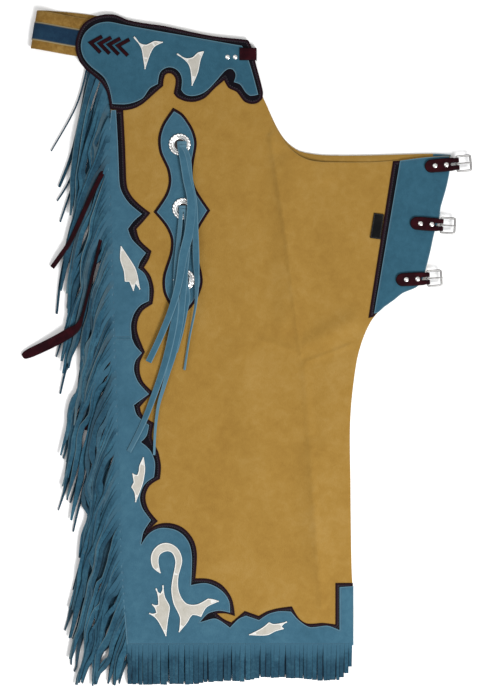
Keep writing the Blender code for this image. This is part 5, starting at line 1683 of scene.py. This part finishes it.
def make_tab(number):
    length = TABS[number - 1][3]
    parts = MeshParts()
    add_ply(parts, number, True, length)
    add_ply(parts, number, False, length)
    for low, high in ((-0.0090, -0.0021), (0.0021, 0.0090)):
        points, faces = add_loop_half(parts, low, high)
        parts.add([tab_place(number, p) for p in points], faces, [2.0] * len(points))
    tab = into_scene(f"tab_{number}_leather", parts.points, parts.faces, STRAP, "burgundy_leather",
                     edge=parts.edge)
    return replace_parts(tab, f"tab_{number}")


on_overlay["facing"] += [make_tab(number) for number in (1, 2, 3)]


# %% Buckle frames and tongues
FRAME_LENGTH, FRAME_WIDTH, ROD_RADIUS = 0.0205, 0.0225, 0.0013


def rounded_rectangle(x0, x1, half, corner_near, corner_far):
    """A closed path round the buckle's frame, from its heel bar."""
    path = []
    for cx, cy, first, radius in (
        (x1 - corner_far, half - corner_far, 0.0, corner_far),
        (x0 + corner_near, half - corner_near, 90.0, corner_near),
        (x0 + corner_near, -half + corner_near, 180.0, corner_near),
        (x1 - corner_far, -half + corner_far, 270.0, corner_far),
    ):
        for angle in np.radians(np.linspace(first, first + 90, 7)):
            path.append(Vector((cx + radius * math.cos(angle), cy + radius * math.sin(angle), 0.0)))
    return path


def make_frame(number):
    """A bent rod: round at the heel bar, a little flattened and wider at its far bar."""
    half = FRAME_WIDTH / 2
    path = rounded_rectangle(0.0, FRAME_LENGTH, half, 0.0014, 0.0028)
    sides, count = 16, len(path)
    points, faces, recess = [], [], []
    for i, here in enumerate(path):
        way = (path[(i + 1) % count] - path[i - 1]).normalized()
        out = Vector((way.y, -way.x, 0.0))
        broad = 1.0 + 0.25 * min(1.0, max(0.0, here.x / FRAME_LENGTH - 0.1))
        for k in range(sides):
            angle = 2 * math.pi * k / sides
            offset = out * math.cos(angle) * ROD_RADIUS * broad
            offset.z = math.sin(angle) * ROD_RADIUS
            points.append(tab_place(number, here + offset))
            # Painted shade: only the top of the rod stays bright, and its sides and underside are darkened.
            recess.append(min(1.0, 2.4 * (1 - max(0.0, math.sin(angle))) ** 0.4))
    for i in range(count):
        ahead = (i + 1) % count
        for k in range(sides):
            after = (k + 1) % sides
            faces.append((i * sides + k, i * sides + after, ahead * sides + after, ahead * sides + k))
    buckle = into_scene(f"buckle_{number}_frame", points, faces, NICKEL, "nickel",
                        f"buckle_frame_{number}", recess=recess)
    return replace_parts(buckle, f"buckle_frame_{number}")


def make_tongue(number):
    """A flat prong curled round the heel bar that rests on the far bar."""
    ring = LOOP_BORE + 0.0004
    start = math.radians(70)
    side_view = [
        (ring * math.cos(a), ring * math.sin(a))
        for a in np.linspace(2 * math.pi - 0.25, start, 18)
    ]
    rest = ROD_RADIUS + 0.0008
    side_view += [
        (0.0035, rest + 0.0007), (0.0070, rest + 0.0006), (0.0120, rest + 0.0005),
        (0.0165, rest + 0.0005), (0.0195, rest + 0.0003), (0.0216, rest), (0.0224, rest - 0.0002),
    ]
    parts = MeshParts()
    count, sides = len(side_view), 8
    points, faces = [], []
    for i, (x, z) in enumerate(side_view):
        ahead, behind = side_view[min(i + 1, count - 1)], side_view[max(i - 1, 0)]
        way = Vector((ahead[0] - behind[0], 0.0, ahead[1] - behind[1])).normalized()
        up = Vector((-way.z, 0.0, way.x))
        width = 0.0026 - 0.0009 * max(0.0, (i - 17) / (count - 18))
        for k in range(sides):
            angle = 2 * math.pi * (k + 0.5) / sides
            spot = Vector((x, math.cos(angle) * width / 2, z)) + up * math.sin(angle) * 0.00055
            points.append(tab_place(number, spot))
    for i in range(count - 1):
        for k in range(sides):
            after = (k + 1) % sides
            faces.append((i * sides + k, (i + 1) * sides + k, (i + 1) * sides + after, i * sides + after))
    faces += [tuple(range(sides)), tuple(reversed(range((count - 1) * sides, count * sides)))]
    parts.add(points, faces)
    tongue = into_scene(f"buckle_{number}_tongue", parts.points, parts.faces, NICKEL, "nickel",
                        f"buckle_tongue_{number}", recess=[0.8] * len(parts.points))
    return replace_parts(tongue, f"buckle_tongue_{number}")


for number in (1, 2, 3):
    make_frame(number)
    make_tongue(number)

# %% [markdown]
# ## Front strap
# A short strap joins the two yokes at the front. It lies on the yoke, turns over the folded edge
# and goes down to the other leg. Its side view is a flat run and a rounded bend.

# %% Front strap
strap_low, strap_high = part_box("front_strap")
strap_thick = 0.0016
bend = 0.0024
middle = (strap_low.y + strap_high.y) / 2
outer_x, top_z = strap_high.x - strap_thick / 2, strap_high.z - strap_thick / 2
course = [Vector((x, middle, top_z)) for x in np.linspace(strap_low.x, outer_x - bend, 8)]
course += [
    Vector((outer_x - bend + bend * math.sin(a), middle, top_z - bend + bend * math.cos(a)))
    for a in np.linspace(0.2, math.pi / 2, 7)
]
course += [Vector((outer_x, middle, z)) for z in np.linspace(top_z - bend - 0.001, strap_low.z, 5)]
points, faces, edge = [], [], []
half_wide = (strap_high.y - strap_low.y) / 2
for i, here in enumerate(course):
    way = (course[min(i + 1, len(course) - 1)] - course[max(i - 1, 0)]).normalized()
    up = Vector((-way.z, 0.0, way.x))
    for across, above, share in RIBBON_SECTION:
        points.append(here + Vector((0, across * half_wide, 0)) + up * above * strap_thick / 2 * 0.83)
        edge.append(share * half_wide * 1000)
sides = len(RIBBON_SECTION)
for i in range(len(course) - 1):
    for k in range(sides):
        after = (k + 1) % sides
        faces.append((i * sides + k, i * sides + after, (i + 1) * sides + after, (i + 1) * sides + k))
faces += [tuple(reversed(range(sides))), tuple(range(len(points) - sides, len(points)))]
front_strap = into_scene("front_strap_leather", points, faces, STRAP, "burgundy_leather", edge=edge)
on_overlay["yoke"].append(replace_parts(front_strap, "front_strap"))

# %% [markdown]
# The large pieces are cut from hides, so the size of each cut is printed. The two legs,
# the overlays and the rims are laid flat, and the belt is folded.

# %% Sheets
as_sheet(right_leg)
as_sheet(left_leg, with_pieces=on_left_leg)
for node, piece in overlays.items():
    rim = {"border_upper": "border_welt", "border_lower": "border_welt"}.get(node, f"{node}_welt")
    as_sheet(piece, node == "border_lower", on_overlay[node])
for node, rim in rims.items():
    as_sheet(rim, node == "border_welt", on_rim[node])
for band in (belt, stripe):
    tuple(band["cut"])

# %% [markdown]
# ## Floor, light and camera
# The chaps lie on a pale surface and are seen straight from above. A large soft light from the
# lower right models the folds, a weaker one from the upper left opens the shadows, and an even sky fills
# the rest. The long lens keeps the outlines true, as on a pattern.

# %% Floor
FLOOR_HALF = 6.0
floor_points = [(-FLOOR_HALF, -FLOOR_HALF), (FLOOR_HALF, -FLOOR_HALF), (FLOOR_HALF, FLOOR_HALF),
                (-FLOOR_HALF, FLOOR_HALF)]
floor_mesh = bpy.data.meshes.new("floor")
floor_mesh.from_pydata([(x, y, -0.0003) for x, y in floor_points], [], [(0, 1, 2, 3)])
floor_material, _, floor_shader = new_material("pale_floor", Roughness=0.9, Specular_IOR_Level=0.1)
floor_shader["Base Color"].default_value = (0.86, 0.86, 0.86, 1.0)
floor_mesh.materials.append(floor_material)
floor = bpy.data.objects.new("floor", floor_mesh)
bpy.context.scene.collection.objects.link(floor)


# %% Lights
def add_light(name, place, size, watts):
    data = bpy.data.lights.new(name, "AREA")
    data.shape = "SQUARE"
    data.size = size
    data.energy = watts
    light = bpy.data.objects.new(name, data)
    light.location = place
    light.rotation_euler = Vector(place).to_track_quat("Z", "Y").to_euler()
    light.visible_camera = False
    bpy.context.scene.collection.objects.link(light)


add_light("key", (1.2, -1.25, 2.1), 1.0, 92)
add_light("fill", (-2.0, 0.9, 2.4), 2.4, 26)
world = bpy.data.worlds.new("studio")
world.use_nodes = True
world.node_tree.nodes["Background"].inputs["Color"].default_value = (1.0, 1.0, 1.0, 1.0)
world.node_tree.nodes["Background"].inputs["Strength"].default_value = 0.66
bpy.context.scene.world = world
bpy.context.scene.view_settings.view_transform = "Standard"

# %% Camera
LENS, SENSOR = 150.0, 36.0
BOARD_HEIGHT = SQUARES_HIGH * SQUARE
camera_data = bpy.data.cameras.new("camera")
camera_data.lens = LENS
camera_data.sensor_width = SENSOR
camera_data.clip_end = 100.0
camera = bpy.data.objects.new("camera", camera_data)
middle_of_board = board(250, 350)
camera.location = (*middle_of_board, 0.006 + BOARD_HEIGHT * LENS / SENSOR)
bpy.context.scene.collection.objects.link(camera)
bpy.context.scene.camera = camera

# %% [markdown]
# ## Count the pieces and finish
# The dressed model stays inside the CAD model's box, apart from a little room for the leather. The
# script prints how many pieces and faces it made.

# %% Size and finish
bpy.context.view_layer.update()
pieces = [o for o in bpy.context.scene.objects if o.type == "MESH" and not o.hide_render]
print("pieces:", len(pieces), "faces:", sum(len(o.data.polygons) for o in pieces))
